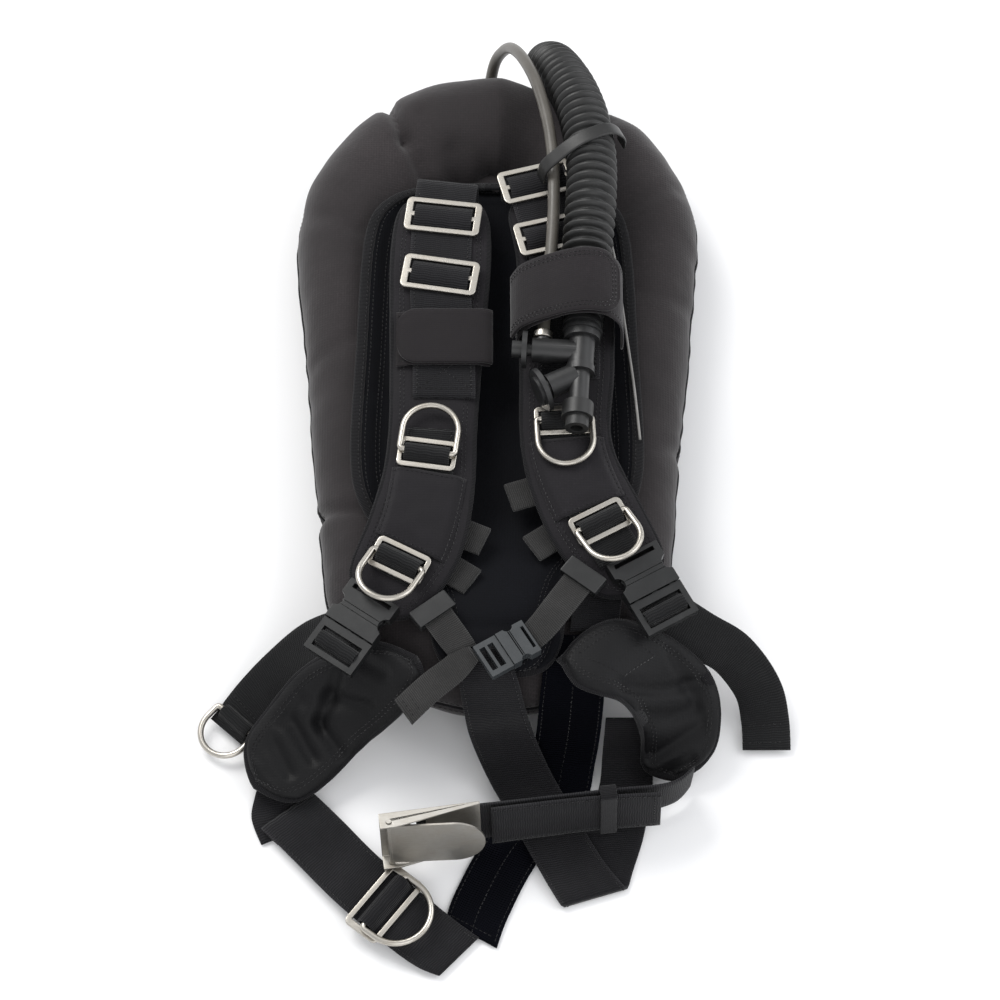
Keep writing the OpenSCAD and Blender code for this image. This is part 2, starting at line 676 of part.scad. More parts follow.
LEFT_WAIST_KEYS = [
  [152, -256, 31, -50, 86, 44],
  [141, -268, 33, -68, 87, 48],
  [124, -275, 34.5, -84, 88, 50],
  [86, -283, 35, -84, 98, 50],
  [30, -290, 35, -83, 98, 50],
  [-34, -299.5, 39, -82, 98, 50],
  [-62, -303.6, 42, -82, 98, 46]
];
BELT_FRONT_KEYS = [
  [-4, -300.5, 38, 98, 80, 50],
  [30, -295, 36, 97, 81, 50],
  [80, -288.4, 34.6, 96, 82, 50],
  [127, -285, 34.6, 96, 84, 50]
];
LEFT_HIP_LINK_KEYS = [
  [84, -110, 88.6, 8, 0, 38],
  [79, -131, 88.6, 6, 0, 38],
  [75.5, -157.5, 86.8, 0, 0, 38]
];
module left_waist_webbing() {
  color(webbing) {
    strip(smooth(LEFT_HIP_LINK_KEYS, 3), web_t);
    strip(smooth(LEFT_WAIST_KEYS, 3), web_t);
    strip(smooth(BELT_FRONT_KEYS, 3), web_t);
  }
}

module belt_keeper() {
  color(plastic) translate([86, -285.6, 35]) rotate([-8, 0, 6]) difference() {
    cube([13, 13, 56], center = true);
    cube([14, 10, 53], center = true);
  }
}

CROTCH_KEYS = [
  [60, -160, 85.2, 0, 0, 46],
  [60, -184, 80.6, 0, 0, 48],
  [58, -206, 60, -2, 0, 50],
  [56, -218, 30, -4, 0, 50],
  [52, -234, 8, -6, 0, 50],
  [44, -262, 2.2, -12, 0, 50],
  [10, -308, 2.2, -24, 0, 46],
  [-12, -352, 2.4, -26, 0, 46],
  [-20, -376, 2.2, -30, 0, 46]
];
module crotch_strap() { color("#20222e") strip(smooth(CROTCH_KEYS, 3), web_t); }
LOOP_KEYS = [
  [-16, -176, 99.4, -4, 0, 44],
  [-8, -198, 94, -2, 0, 46],
  [-2, -214, 66, 2, 0, 48],
  [4, -224, 36, 4, 0, 50],
  [18, -248, 13, 6, 0, 50],
  [36, -280, 7.6, 6, 0, 50],
  [56, -318, 7.6, 10, 0, 50],
  [73, -344, 5.6, 17, 0, 52],
  [77, -344.5, 2.4, 17, 0, 52],
  [81, -330, 2.2, 12, 0, 50],
  [91, -294, 2.4, 2, 0, 48],
  [101, -254, 3.4, 0, 0, 42],
  [103, -228, 18, 0, 0, 40],
  [103, -212, 44, 0, 0, 36]
];
module lower_loop_strap() { color(webbing) strip(smooth(LOOP_KEYS, 3), web_t); }

// ---- Waist buckle --------------------------------------------------------------------
// Stands on edge: its own X runs along the belt, its own Y up the belt's face.
WAIST_BUCKLE = [-86, -309.7, 43, 8, 78];
module waist_buckle_frame() {
  color(steel) put(WAIST_BUCKLE) difference() {
    union() {
      translate([-4, -28, 0]) cube([78, 56, 1.6]);
      for (y = [-28, 26.4]) translate([0, y, 0]) rotate([90, 0, 0]) translate([0, 0, -1.6])
        linear_extrude(1.6) polygon([[-4, 0], [74, 0], [74, 2.4], [8, 14], [-4, 14]]);
    }
    translate([2, -25, -1]) cube([10, 50, 4]);
    translate([20, -25, -1]) cube([12, 50, 4]);
    translate([3, 29, 9]) rotate([90, 0, 0]) cylinder(r = 2.06, h = 58);
  }
}

module waist_buckle_lever() {
  color(steel) put(WAIST_BUCKLE) translate([3, 0, 9]) {
    rotate([90, 0, 0]) translate([0, 0, -29.4]) cylinder(r = 2, h = 58.8);
    rotate([0, -6, 0]) linear_extrude(1.6) union() {
      translate([0, -24]) square([49, 48]);
      translate([49, 0]) circle(24);
    }
  }
}

// ---- Hoses and inflator -----------------------------------------------------------------
HOSE_ROUTE = [
  [44, 397, 48.9], [44.2, 396, 56], [46, 387, 70], [49, 374, 86], [55, 355, 101], [64, 327, 116],
  [72, 292, 129], [77, 247, 139], [76, 200, 145], [72, 150, 144], [69.7, 106.8, 142.5]
];
module corrugated_hose() {
  color(rubber) tube(smooth(HOSE_ROUTE, 4), hose_d / 2, 12);
}

module wing_elbow() {
  color(plastic) translate([ELBOW_AT[0], 0, ELBOW_AT[2]]) rotate([-90, 0, 0]) {
    translate([0, 0, 362]) cylinder(r = ELBOW_PIPE_R, h = 16);
    translate([0, 0, ELBOW_SEAT_Y + 0.2]) cylinder(r = ELBOW_FLANGE_R, h = 4);
  }
  color(plastic) translate([ELBOW_AT[0], ELBOW_SEAT_Y + 4.1, ELBOW_AT[2] + ELBOW_BEND_R])
    rotate([90, 0, 90]) rotate([0, 0, -90])
      rotate_extrude(angle = 90) translate([ELBOW_BEND_R, 0]) circle(14);
}

module hose_band() {
  points = [[36, 127], [39, 143], [50, 152.5], [62, 160], [76, 163], [92, 159], [102, 143], [102, 130]];
  color(rubber) strip(smooth([for (p = points) [p[0], 236 + (p[0] - 38) * 0.5, p[1], 116, 0, 12]], 2), 2.2);
}

INFLATOR = [69, 97, 142.5, -3.6, 0];
// The frame of the inflator's side arm, on which the deflate button slides.
module inflator_side(offset) {
  translate([-12, -62, 0]) rotate([0, 0, 30]) translate([offset, 0, 0]) children();
}

module inflator_body() {
  color(plastic) put(INFLATOR) difference() {
    union() {
      rotate([90, 0, 0]) {
        translate([0, 0, -9]) cylinder(r = 14.5, h = 34);
        for (z = [2, 9, 16]) translate([0, 0, z]) cylinder(r = 16, h = 3);
        translate([0, 0, 25]) cylinder(r = 10.5, h = 30);
        translate([0, 0, 49]) cylinder(r = 11.5, h = 6);
        translate([0, 0, 55]) cylinder(r = 8, h = 28);
      }
      translate([-39, -36, 0]) rotate([0, 90, 0]) cylinder(r = 9.8, h = 36);
      translate([-31, -36, 0]) translate([0, -4, 0]) rotate([-90, 0, 0]) cylinder(r = 6, h = 16);
      inflator_side(-14) rotate([0, 90, 0]) cylinder(r = 10, h = 24);
    }
    translate([-40, -36, 0]) rotate([0, 90, 0]) cylinder(r = 5.06, h = 13);
    inflator_side(-15) rotate([0, 90, 0]) cylinder(r = 6.06, h = 13);
  }
}

module mouthpiece() {
  color(rubber) put(INFLATOR) rotate([90, 0, 0]) difference() {
    union() {
      translate([0, 0, 83]) cylinder(r = 12.5, h = 13);
      translate([0, 0, 96]) cylinder(r = 9.3, h = 9);
    }
    translate([0, 0, 82]) cylinder(r = 5, h = 24);
    translate([0, 0, 89]) rotate([90, 0, 0]) cylinder(r = 1.6, h = 14);
  }
}

module inflate_button() {
  color(plastic) put(INFLATOR) translate([-39, -36, 0]) rotate([0, -90, 0]) {
    translate([0, 0, -8]) cylinder(r = 5, h = 12);
    translate([0, 0, 4]) cylinder(r = 15, h = 4);
    translate([0, 0, 8]) cylinder(r = 7, h = 8);
  }
}

module deflate_button() {
  color(plastic) put(INFLATOR) inflator_side(-14) rotate([0, -90, 0]) {
    translate([0, 0, -8]) cylinder(r = 6, h = 12);
    translate([0, 0, 4]) cylinder(r = 18, h = 4);
    translate([0, 0, 8]) cylinder(r = 12, h = 2);
  }
}

QC_AT = [36.45, 73.4, 142.5];
module quick_connect_sleeve() {
  color(steel) translate(QC_AT) rotate([-90, 0, -3.6]) difference() {
    cylinder(r = 7.6, h = 6);
    translate([0, 0, -1]) cylinder(r = 6.06, h = 10);
  }
}

LP_ROUTE = [
  [36.6, 75.3, 142.5], [38.4, 100, 141], [41, 125, 138], [43, 149, 136], [46, 200, 133], [46, 248, 132],
  [42, 290, 128], [33, 335, 119], [22, 372, 102], [12, 398, 80], [4, 410, 56], [-2, 411, 38], [-6, 402, 19],
  [-8, 386, 8.5], [-8, 368, 5.5], [-7, 340, 5.5], [-8, 300, 5.5], [-14, 250, 5.5],
  [-26, 190, 5.5], [-38, 130, 5.5],
  [-42, 96, 5.5]
];
module lp_hose() { color(rubber) tube(smooth(LP_ROUTE, 3), lp_d / 2, 8); }
module hose_end_fitting() {
  color(steel) translate([-42, 95.5, 7]) rotate([90, 0, -7]) {
    cylinder(r = 7, h = 16);
    translate([0, 0, 16]) cylinder(r = 5.5, h = 10);
  }
}

module dump_valve() {
  color(plastic) translate([DUMP_AT[0], DUMP_AT[1], 0]) difference() {
    translate([0, 0, 5]) cylinder(r = DUMP_R, h = 11);
    translate([0, 0, 4]) cylinder(r = 4.06, h = 10.5);
  }
}

module dump_valve_knob() {
  color(plastic) translate([DUMP_AT[0], DUMP_AT[1], 5.8]) cylinder(r = 4, h = 6.2);
}

wing_shell();
air_bladder();
backplate();
wing_screws();
back_pad();
cam_bands();
cam_buckles();
upper_cam_lever();
lower_cam_lever();
right_shoulder_pad();
left_shoulder_pad();
right_shoulder_webbing();
left_shoulder_webbing();
wide_slides();
narrow_slides();
right_chest_webbing();
left_chest_webbing();
right_upper_d_ring();
right_lower_d_ring();
left_upper_d_ring();
left_lower_d_ring();
right_keeper();
right_keeper_flap();
hose_keeper();
hose_keeper_flap();
right_buckle_socket();
right_buckle_plug();
left_buckle_socket();
left_buckle_plug();
right_strap_tail();
left_strap_tail();
tail_d_ring();
strap_tabs();
sternum_keepers();
right_sternum_strap();
left_sternum_strap();
sternum_socket();
sternum_plug();
right_hip_pad();
left_hip_pad();
right_waist_webbing();
left_waist_webbing();
crotch_strap();
lower_loop_strap();
waist_d_ring();
waist_buckle_frame();
waist_buckle_lever();
belt_keeper();
corrugated_hose();
wing_elbow();
hose_band();
inflator_body();
mouthpiece();
inflate_button();
deflate_button();
quick_connect_sleeve();
lp_hose();
hose_end_fitting();
dump_valve();
dump_valve_knob();
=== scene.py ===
import math

import bmesh
import bpy
import numpy as np
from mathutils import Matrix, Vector, noise
from mathutils.bvhtree import BVHTree


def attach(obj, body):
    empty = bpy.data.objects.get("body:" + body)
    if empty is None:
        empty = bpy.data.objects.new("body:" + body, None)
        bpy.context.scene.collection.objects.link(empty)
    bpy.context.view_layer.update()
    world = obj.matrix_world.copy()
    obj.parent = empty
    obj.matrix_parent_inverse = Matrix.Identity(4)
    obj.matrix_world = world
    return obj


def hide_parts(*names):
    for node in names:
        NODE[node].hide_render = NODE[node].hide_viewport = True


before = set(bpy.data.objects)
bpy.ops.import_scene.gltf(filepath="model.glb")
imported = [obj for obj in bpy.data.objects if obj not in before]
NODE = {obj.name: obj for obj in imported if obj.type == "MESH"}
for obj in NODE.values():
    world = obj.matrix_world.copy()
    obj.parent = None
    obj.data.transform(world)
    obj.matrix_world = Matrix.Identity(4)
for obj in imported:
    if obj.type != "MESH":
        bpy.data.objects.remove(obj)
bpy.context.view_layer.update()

MM = 0.001


# ---- numbers and curves ----
def unit(v):
    v = np.asarray(v, float)
    n = np.linalg.norm(v, axis=-1, keepdims=True)
    return v / np.where(n < 1e-12, 1, n)


def smooth(keys, steps):
    """A curve through every key."""
    k = np.array(keys, float)
    out = []
    for i in range(len(k) - 1):
        p, q, r, s = k[max(i - 1, 0)], k[i], k[i + 1], k[min(i + 2, len(k) - 1)]
        for t in np.arange(steps) / steps:
            out.append(0.5 * (2 * q + (r - p) * t + (2 * p - 5 * q + 4 * r - s) * t * t
                              + (3 * q - 3 * r + s - p) * t * t * t))
    out.append(k[-1])
    return np.array(out)


def distances(p):
    """How far along a line each of its points is."""
    return np.concatenate([[0], np.cumsum(np.linalg.norm(np.diff(p, axis=0), axis=1))])


def sample(rows, d, want):
    """Rows known at distances d, read at other distances."""
    return np.stack([np.interp(want, d, column) for column in np.asarray(rows).T], -1)


def resample(keys, spacing, steps=12):
    """Even stations along smoothed keys, with their distances."""
    fine = smooth(keys, steps)
    d = distances(fine[:, :3])
    s = np.linspace(0, d[-1], max(3, int(round(d[-1] / spacing))) + 1)
    return sample(fine, d, s), s


def rot_z(a):
    c, s = math.cos(math.radians(a)), math.sin(math.radians(a))
    return np.array([[c, -s, 0], [s, c, 0], [0, 0, 1.0]])


def rot_x(a):
    c, s = math.cos(math.radians(a)), math.sin(math.radians(a))
    return np.array([[1.0, 0, 0], [0, c, -s], [0, s, c]])


def place(at, pts):
    """Points of a local frame: turned about Z, pitched about own X, moved."""
    return np.asarray(pts, float) @ (rot_z(at[3]) @ rot_x(at[4])).T + np.array(at[:3], float)


def wob(p, scale, seed=0.0):
    return noise.noise(Vector((p[0] / scale + seed, p[1] / scale - seed * 1.7, p[2] / scale + seed * 0.3)))


def ease(t):
    return t * t * (3 - 2 * t)


def circle(sides):
    return np.linspace(0, 2 * np.pi, sides, endpoint=False)


# ---- meshes ----
def shade_smooth(ob):
    ob.data.polygons.foreach_set("use_smooth", [True] * len(ob.data.polygons))


def new_object(name, verts, faces, mat, uv=None):
    """A mesh object from millimetres, with its normals outwards."""
    me = bpy.data.meshes.new(name)
    me.from_pydata([tuple(float(c) * MM for c in v) for v in verts], [], faces)
    if uv is not None:
        data = np.array([uv[i] for f in faces for i in f], float) * MM
        me.uv_layers.new(name="UVMap").data.foreach_set("uv", data.astype(np.float32).ravel())
    ob = bpy.data.objects.new(name, me)
    shade_smooth(ob)
    me.validate()
    me.update()
    bpy.context.scene.collection.objects.link(ob)
    if mat is not None:
        me.materials.append(mat)
    bm = bmesh.new()
    bm.from_mesh(me)
    bmesh.ops.recalc_face_normals(bm, faces=bm.faces)
    bm.to_mesh(me)
    bm.free()
    return ob


def loft(name, rings, mat, closed=False, uv=None):
    """A closed surface through rings of the same count. uv is (n, m, 2) in millimetres."""
    r = np.asarray(rings, float)
    n, m = r.shape[:2]
    faces = []
    for i in range(n if closed else n - 1):
        a, b = i * m, ((i + 1) % n) * m
        for j in range(m):
            k = (j + 1) % m
            faces.append((a + j, a + k, b + k, b + j))
    if not closed:
        faces.append(tuple(range(m))[::-1])
        faces.append(tuple((n - 1) * m + j for j in range(m)))
    return new_object(name, r.reshape(-1, 3), faces, mat,
                      None if uv is None else np.asarray(uv, float).reshape(-1, 2))


def join(name, parts):
    """One mesh object of several, keeping each one's materials."""
    bpy.ops.object.select_all(action="DESELECT")
    for p in parts:
        p.select_set(True)
    bpy.context.view_layer.objects.active = parts[0]
    if len(parts) > 1:
        bpy.ops.object.join()
    parts[0].name = name
    parts[0].data.name = name
    parts[0].select_set(False)
    return parts[0]


def settle(ob, body, slot, *nodes):
    """The piece rides its body and stands for CAD nodes, which it hides. slot is not used."""
    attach(ob, body)
    if nodes:
        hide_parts(*nodes)
    return ob


def frames_of(k):
    """Centre, across and up of each station of a strip."""
    c = k[:, :3]
    a, t = np.radians(k[:, 3]), np.radians(k[:, 4])
    across = np.stack([np.cos(a) * np.cos(t), np.sin(a) * np.cos(t), np.sin(t)], 1)
    return c, across, unit(np.cross(unit(np.gradient(c, axis=0)), across))


def flat_section(half_w, half_t, n=8, round_mm=0.6):
    """Section of webbing: flat, with rounded edges, as (across, up) in millimetres."""
    xs = np.linspace(-1, 1, n + 1) * (half_w - round_mm)
    edge = [(half_w - 0.18, -half_t * 0.62), (half_w, 0), (half_w - 0.18, half_t * 0.62)]
    pts = [(x, -half_t) for x in xs] + edge + [(x, half_t) for x in xs[::-1]] + [(-x, y) for x, y in edge[::-1]]
    return np.array(pts)


def strip_uv(distance, across):
    return np.stack([np.full(len(across), distance), across], 1)


def webbing_strip(name, keys, mat, thick=1.9, rough=0.25, seed=1.0):
    k, s = resample(keys, 4.0)
    c, across, up = frames_of(k)
    rings, uvs = [], []
    for i in range(len(k)):
        sec = flat_section(k[i, 5] / 2, thick / 2)
        w = rough * np.array([wob((s[i], x * 0.7, seed * 37.0), 26.0, seed) for x in sec[:, 0]])
        end = min(s[i], s[-1] - s[i])
        squeeze = 1.0 if end > 0.8 else 0.75 + 0.25 * end / 0.8
        rings.append(c[i] + across[i] * sec[:, :1] + up[i] * (sec[:, 1:] * squeeze + w[:, None]))
        uvs.append(strip_uv(s[i], sec[:, 0]))
    return loft(name, rings, mat, uv=uvs)


def tube(name, points, radius, sides, mat, radii=None):
    p = np.asarray(points, float)
    along = unit(np.gradient(p, axis=0))
    side = unit(np.cross(along[0], [0.3, 0.2, 1.0]))
    s, a = distances(p), circle(sides)
    rings = []
    for i in range(len(p)):
        side = unit(side - along[i] * float(np.dot(side, along[i])))
        up = np.cross(along[i], side)
        r = radius if radii is None else radii[i]
        rings.append(p[i] + r * (np.outer(np.cos(a), side) + np.outer(np.sin(a), up)))
    return loft(name, rings, mat, uv=[strip_uv(d, a * radius) for d in s])


STITCH_WIDTH, STITCH_HEIGHT, STITCH_LIFT, STITCH_DEPTH = 0.75, 0.45, 0.1, 0.2


def stitch_run(points, ups, length=2.6, gap=1.4):
    """Thread dashes along a line, as vertices and faces. Each is widest and highest in its middle."""
    p, u = np.asarray(points, float), unit(ups)
    d = distances(p)
    verts, faces = [], []
    s = gap
    while s + length < d[-1]:
        ends = [(sample(p, d, q), unit(sample(u, d, q))) for q in (s, s + length / 2, s + length)]
        side = unit(np.cross(unit(ends[2][0] - ends[0][0]), ends[1][1]))
        b = len(verts)
        for (c, n), high, wide in zip(ends, (0.35, 1.0, 0.35), (0.34, 0.5, 0.34)):
            w, foot, top = side * STITCH_WIDTH * wide, -n * STITCH_DEPTH, n * (STITCH_LIFT + STITCH_HEIGHT * high)
            verts += [c - w + foot, c + w + foot, c + w * 0.6 + top, c - w * 0.6 + top]
        for o in (b, b + 4):
            for e in range(4):
                f = (e + 1) % 4
                faces.append((o + e, o + f, o + 4 + f, o + 4 + e))
        faces += [(b + 3, b + 2, b + 1, b), (b + 8, b + 9, b + 10, b + 11)]
        s += length + gap
    return verts, faces


def sew(name, runs, body, slot, **kw):
    """Rows of thread as one piece."""
    verts, faces = [], []
    for pts, ups in runs:
        v, f = stitch_run(pts, ups, **kw)
        faces += [tuple(len(verts) + i for i in q) for q in f]
        verts += v
    ob = new_object(name, verts, faces, M_THREAD)
    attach(ob, body)
    settle(ob, body, slot)


# ---- materials ----
def set_inputs(nt, n, inputs):
    for k, v in inputs.items():
        if hasattr(v, "node"):
            nt.links.new(v, n.inputs[k])
        else:
            n.inputs[k].default_value = v


def node(nt, kind, inputs, **props):
    n = nt.nodes.new(kind)
    for k, v in props.items():
        setattr(n, k, v)
    set_inputs(nt, n, inputs)
    return n


def mat_base(name):
    """A new material, its node tree, its shader and its object coordinates."""
    m = bpy.data.materials.new(name)
    m.use_nodes = True
    nt = m.node_tree
    nt.nodes.clear()
    bs = nt.nodes.new("ShaderNodeBsdfPrincipled")
    node(nt, "ShaderNodeOutputMaterial", {0: bs.outputs[0]})
    return m, nt, bs, node(nt, "ShaderNodeTexCoord", {}).outputs["Object"]


def maths(nt, op, a, b=0.0):
    return node(nt, "ShaderNodeMath", {0: a, 1: b}, operation=op).outputs[0]


def blend(nt, *parts):
    """The sum of values, each times its share."""
    total = 0.0
    for value, share in parts:
        total = maths(nt, "ADD", maths(nt, "MULTIPLY", value, share), total)
    return total


def spots(nt, at, scale, detail, rough=0.5):
    inputs = {"Vector": at, "Scale": scale, "Detail": detail, "Roughness": rough}
    return node(nt, "ShaderNodeTexNoise", inputs).outputs[0]


def ripple(nt, value, pitch_mm):
    """A wave from 0 to 1 along a value in metres."""
    wave = maths(nt, "SINE", maths(nt, "MULTIPLY", value, 6.2832 / (pitch_mm * MM)))
    return maths(nt, "ADD", maths(nt, "MULTIPLY", wave, 0.5), 0.5)


def ramp(nt, fac, *stops):
    """Colours by value. Each stop is a position and a colour or a grey."""
    n = node(nt, "ShaderNodeValToRGB", {0: fac})
    e = n.color_ramp.elements
    while len(e) < len(stops):
        e.new(0.5)
    for el, (pos, col) in zip(e, stops):
        el.position = pos
        el.color = (*col, 1) if isinstance(col, tuple) else (col, col, col, 1)
    return n.outputs[0]


def bump(nt, height, strength, distance, **under):
    inputs = {"Strength": strength, "Distance": distance, "Height": height, **under}
    return node(nt, "ShaderNodeBump", inputs).outputs[0]


def tinted(color, share):
    return tuple(share * c for c in color)


def cloth_material(name, color, light, weave=900.0, sheen=0.25, roughness=0.85, specular=0.2):
    """Woven nylon: fine crossed threads, broad fading, and dusty high spots."""
    m, nt, bs, obj = mat_base(name)
    threads = [node(nt, "ShaderNodeTexWave", {"Vector": obj, "Scale": weave / 6.28, "Distortion": 0.6, "Detail": 0.0},
                    bands_direction=axis).outputs[1] for axis in "XY"]
    thread = maths(nt, "MULTIPLY", maths(nt, "MAXIMUM", *threads), spots(nt, obj, weave * 0.55, 2.0))
    shade = blend(nt, (spots(nt, obj, 9.0, 4.0, 0.6), 0.62), (thread, 0.42))
    set_inputs(nt, bs, {
        "Base Color": ramp(nt, shade, (0.22, tinted(color, 0.55)), (0.52, color), (0.82, light)),
        "Roughness": ramp(nt, shade, (0.2, roughness - 0.12), (0.8, min(roughness + 0.1, 1))),
        "Sheen Weight": sheen, "Sheen Roughness": 0.45, "Specular IOR Level": specular,
        "Normal": bump(nt, spots(nt, obj, 55.0, 5.0, 0.55), 0.5, 0.0016, Normal=bump(nt, thread, 0.35, 0.0006))})
    return m


def webbing_material(name, color, light, rib=1.9, columns=6.0, sheen=0.3, edge=25.0, contrast=1.0, specular=0.18):
    """Ribbed webbing, laid out by the strip's own length and width in metres."""
    m, nt, bs, obj = mat_base(name)
    uv = node(nt, "ShaderNodeUVMap", {}, uv_map="UVMap").outputs[0]
    u, v = node(nt, "ShaderNodeSeparateXYZ", {0: uv}).outputs[:2]
    phase = blend(nt, (maths(nt, "PINGPONG", v, columns * MM), 0.1), (u, 1.0))
    thread = blend(nt, (ripple(nt, phase, rib), 0.75), (ripple(nt, v, 1.4), 0.25))
    side = maths(nt, "MULTIPLY", maths(nt, "ABSOLUTE", v), 1.0 / (edge * MM))
    shade = blend(nt, (spots(nt, obj, 22.0, 4.0, 0.6), 0.4), (thread, 0.3 * contrast),
                  (spots(nt, obj, 900.0, 2.0), 0.22), (maths(nt, "POWER", side, 14.0), 0.22))
    set_inputs(nt, bs, {
        "Base Color": ramp(nt, shade, (0.2, tinted(color, 0.5)), (0.5, color), (0.8, light)),
        "Roughness": 0.8, "Sheen Weight": sheen, "Sheen Roughness": 0.4, "Specular IOR Level": specular,
        "Normal": bump(nt, thread, 0.75, 0.0007)})
    return m


def steel_material(name, color, roughness):
    """Bright metal with long fine scratches and warmer, duller spots."""
    m, nt, bs, obj = mat_base(name)
    streak = node(nt, "ShaderNodeMapping",
                  {"Vector": obj, "Scale": (60.0, 900.0, 900.0), "Rotation": (0.2, 0.1, 0.6)})
    line = spots(nt, streak.outputs[0], 2.2, 3.0)
    shade = blend(nt, (spots(nt, obj, 60.0, 5.0, 0.65), 0.6), (line, 0.4))
    set_inputs(nt, bs, {
        "Base Color": ramp(nt, shade, (0.3, (0.34, 0.31, 0.265)), (0.55, color), (0.8, tinted(color, 1.15))),
        "Roughness": ramp(nt, shade, (0.3, roughness + 0.2), (0.7, roughness)),
        "Metallic": 1.0, "Normal": bump(nt, line, 0.12, 0.0003)})
    return m


def plastic_material(name, color, light, roughness=0.42, grain=1200.0, relief=0.12):
    m, nt, bs, obj = mat_base(name)
    fine = spots(nt, obj, grain, 2.0)
    shade = blend(nt, (spots(nt, obj, 45.0, 5.0, 0.6), 0.7), (fine, 0.3))
    set_inputs(nt, bs, {
        "Base Color": ramp(nt, shade, (0.3, tinted(color, 0.8)), (0.55, color), (0.78, light)),
        "Roughness": ramp(nt, shade, (0.3, roughness - 0.08), (0.75, roughness + 0.12)),
        "Normal": bump(nt, fine, relief, 0.0004)})
    return m


M_WING = cloth_material("WingCloth", (0.024, 0.0205, 0.0215), (0.047, 0.041, 0.0425), sheen=0.22)
M_PAD = cloth_material("PadCloth", (0.0105, 0.0094, 0.0113), (0.024, 0.0215, 0.025), sheen=0.12)
M_BACK = cloth_material("BackPadCloth", (0.0022, 0.0025, 0.004), (0.006, 0.0065, 0.0095), sheen=0.03, specular=0.12)
M_HIP = cloth_material("HipCloth", (0.0014, 0.0014, 0.002), (0.0072, 0.0069, 0.0086), sheen=0.035, specular=0.22,
                       roughness=0.6)
M_HOOK = cloth_material("KeeperCloth", (0.0115, 0.0095, 0.0108), (0.027, 0.0228, 0.0258), weave=1100.0, sheen=0.16)
M_BIND = webbing_material("BindingTape", (0.0075, 0.0072, 0.0085), (0.021, 0.02, 0.0225), rib=1.3, columns=3.0,
                          edge=9.0, contrast=0.6, sheen=0.12)
M_WEB50 = webbing_material("Webbing50", (0.0085, 0.0084, 0.0098), (0.028, 0.0272, 0.0295), sheen=0.1)
M_WEB38 = webbing_material("Webbing38", (0.008, 0.0082, 0.0088), (0.026, 0.0262, 0.0268), edge=19.0, sheen=0.1)
M_GREY = webbing_material("GreyWebbing", (0.026, 0.0256, 0.0252), (0.068, 0.0665, 0.066), rib=1.6, columns=4.0,
                          edge=12.5, sheen=0.15)
M_NAVY = webbing_material("NavyWebbing", (0.0015, 0.0018, 0.0038), (0.0055, 0.006, 0.0115), contrast=0.7, sheen=0.0,
                          specular=0.06)
M_THREAD = webbing_material("Thread", (0.008, 0.0076, 0.0085), (0.036, 0.034, 0.036), rib=0.5, columns=1.0,
                            contrast=0.4)
M_STEEL = steel_material("PolishedSteel", (0.5, 0.475, 0.43), 0.22)
M_BRUSHED = steel_material("BrushedSteel", (0.42, 0.405, 0.375), 0.34)
M_PLASTIC = plastic_material("MouldedPlastic", (0.007, 0.0075, 0.0078), (0.019, 0.0195, 0.02), 0.36)
M_INFLATOR = plastic_material("InflatorPlastic", (0.012, 0.0122, 0.0126), (0.03, 0.0302, 0.031), 0.4, grain=900.0)
M_BUCKLE = plastic_material("SmallBucklePlastic", (0.03, 0.034, 0.037), (0.07, 0.078, 0.083), 0.4)
M_RUBBER = plastic_material("HoseRubber", (0.0085, 0.0086, 0.0084), (0.024, 0.0238, 0.023), 0.46, 700.0, 0.2)
M_LP = plastic_material("HoseCover", (0.085, 0.078, 0.067), (0.15, 0.138, 0.12), 0.36, 800.0, 0.3)
# Pale piping colour: a painted highlight standing in for the bright reflected line along the back pad's edge
M_HIGHLIGHT_PIPING = plastic_material("PaintedHighlightPiping", (0.22, 0.215, 0.205), (0.36, 0.35, 0.335), 0.5)
M_FILM = plastic_material("BladderFilm", (0.06, 0.066, 0.075), (0.1, 0.108, 0.12), 0.3, relief=0.1)


# ---- camera, floor and lights ----
CAMERA_ELEVATION = 62
CAMERA_DISTANCE = 3.0
LENS_IN_IMAGE_WIDTHS = 3.66
FILM_WIDTH = 36
FLOOR_HALF, FLOOR_Z = 6, -0.0004


def add_to_scene(name, data):
    ob = bpy.data.objects.new(name, data)
    bpy.context.scene.collection.objects.link(ob)
    return ob


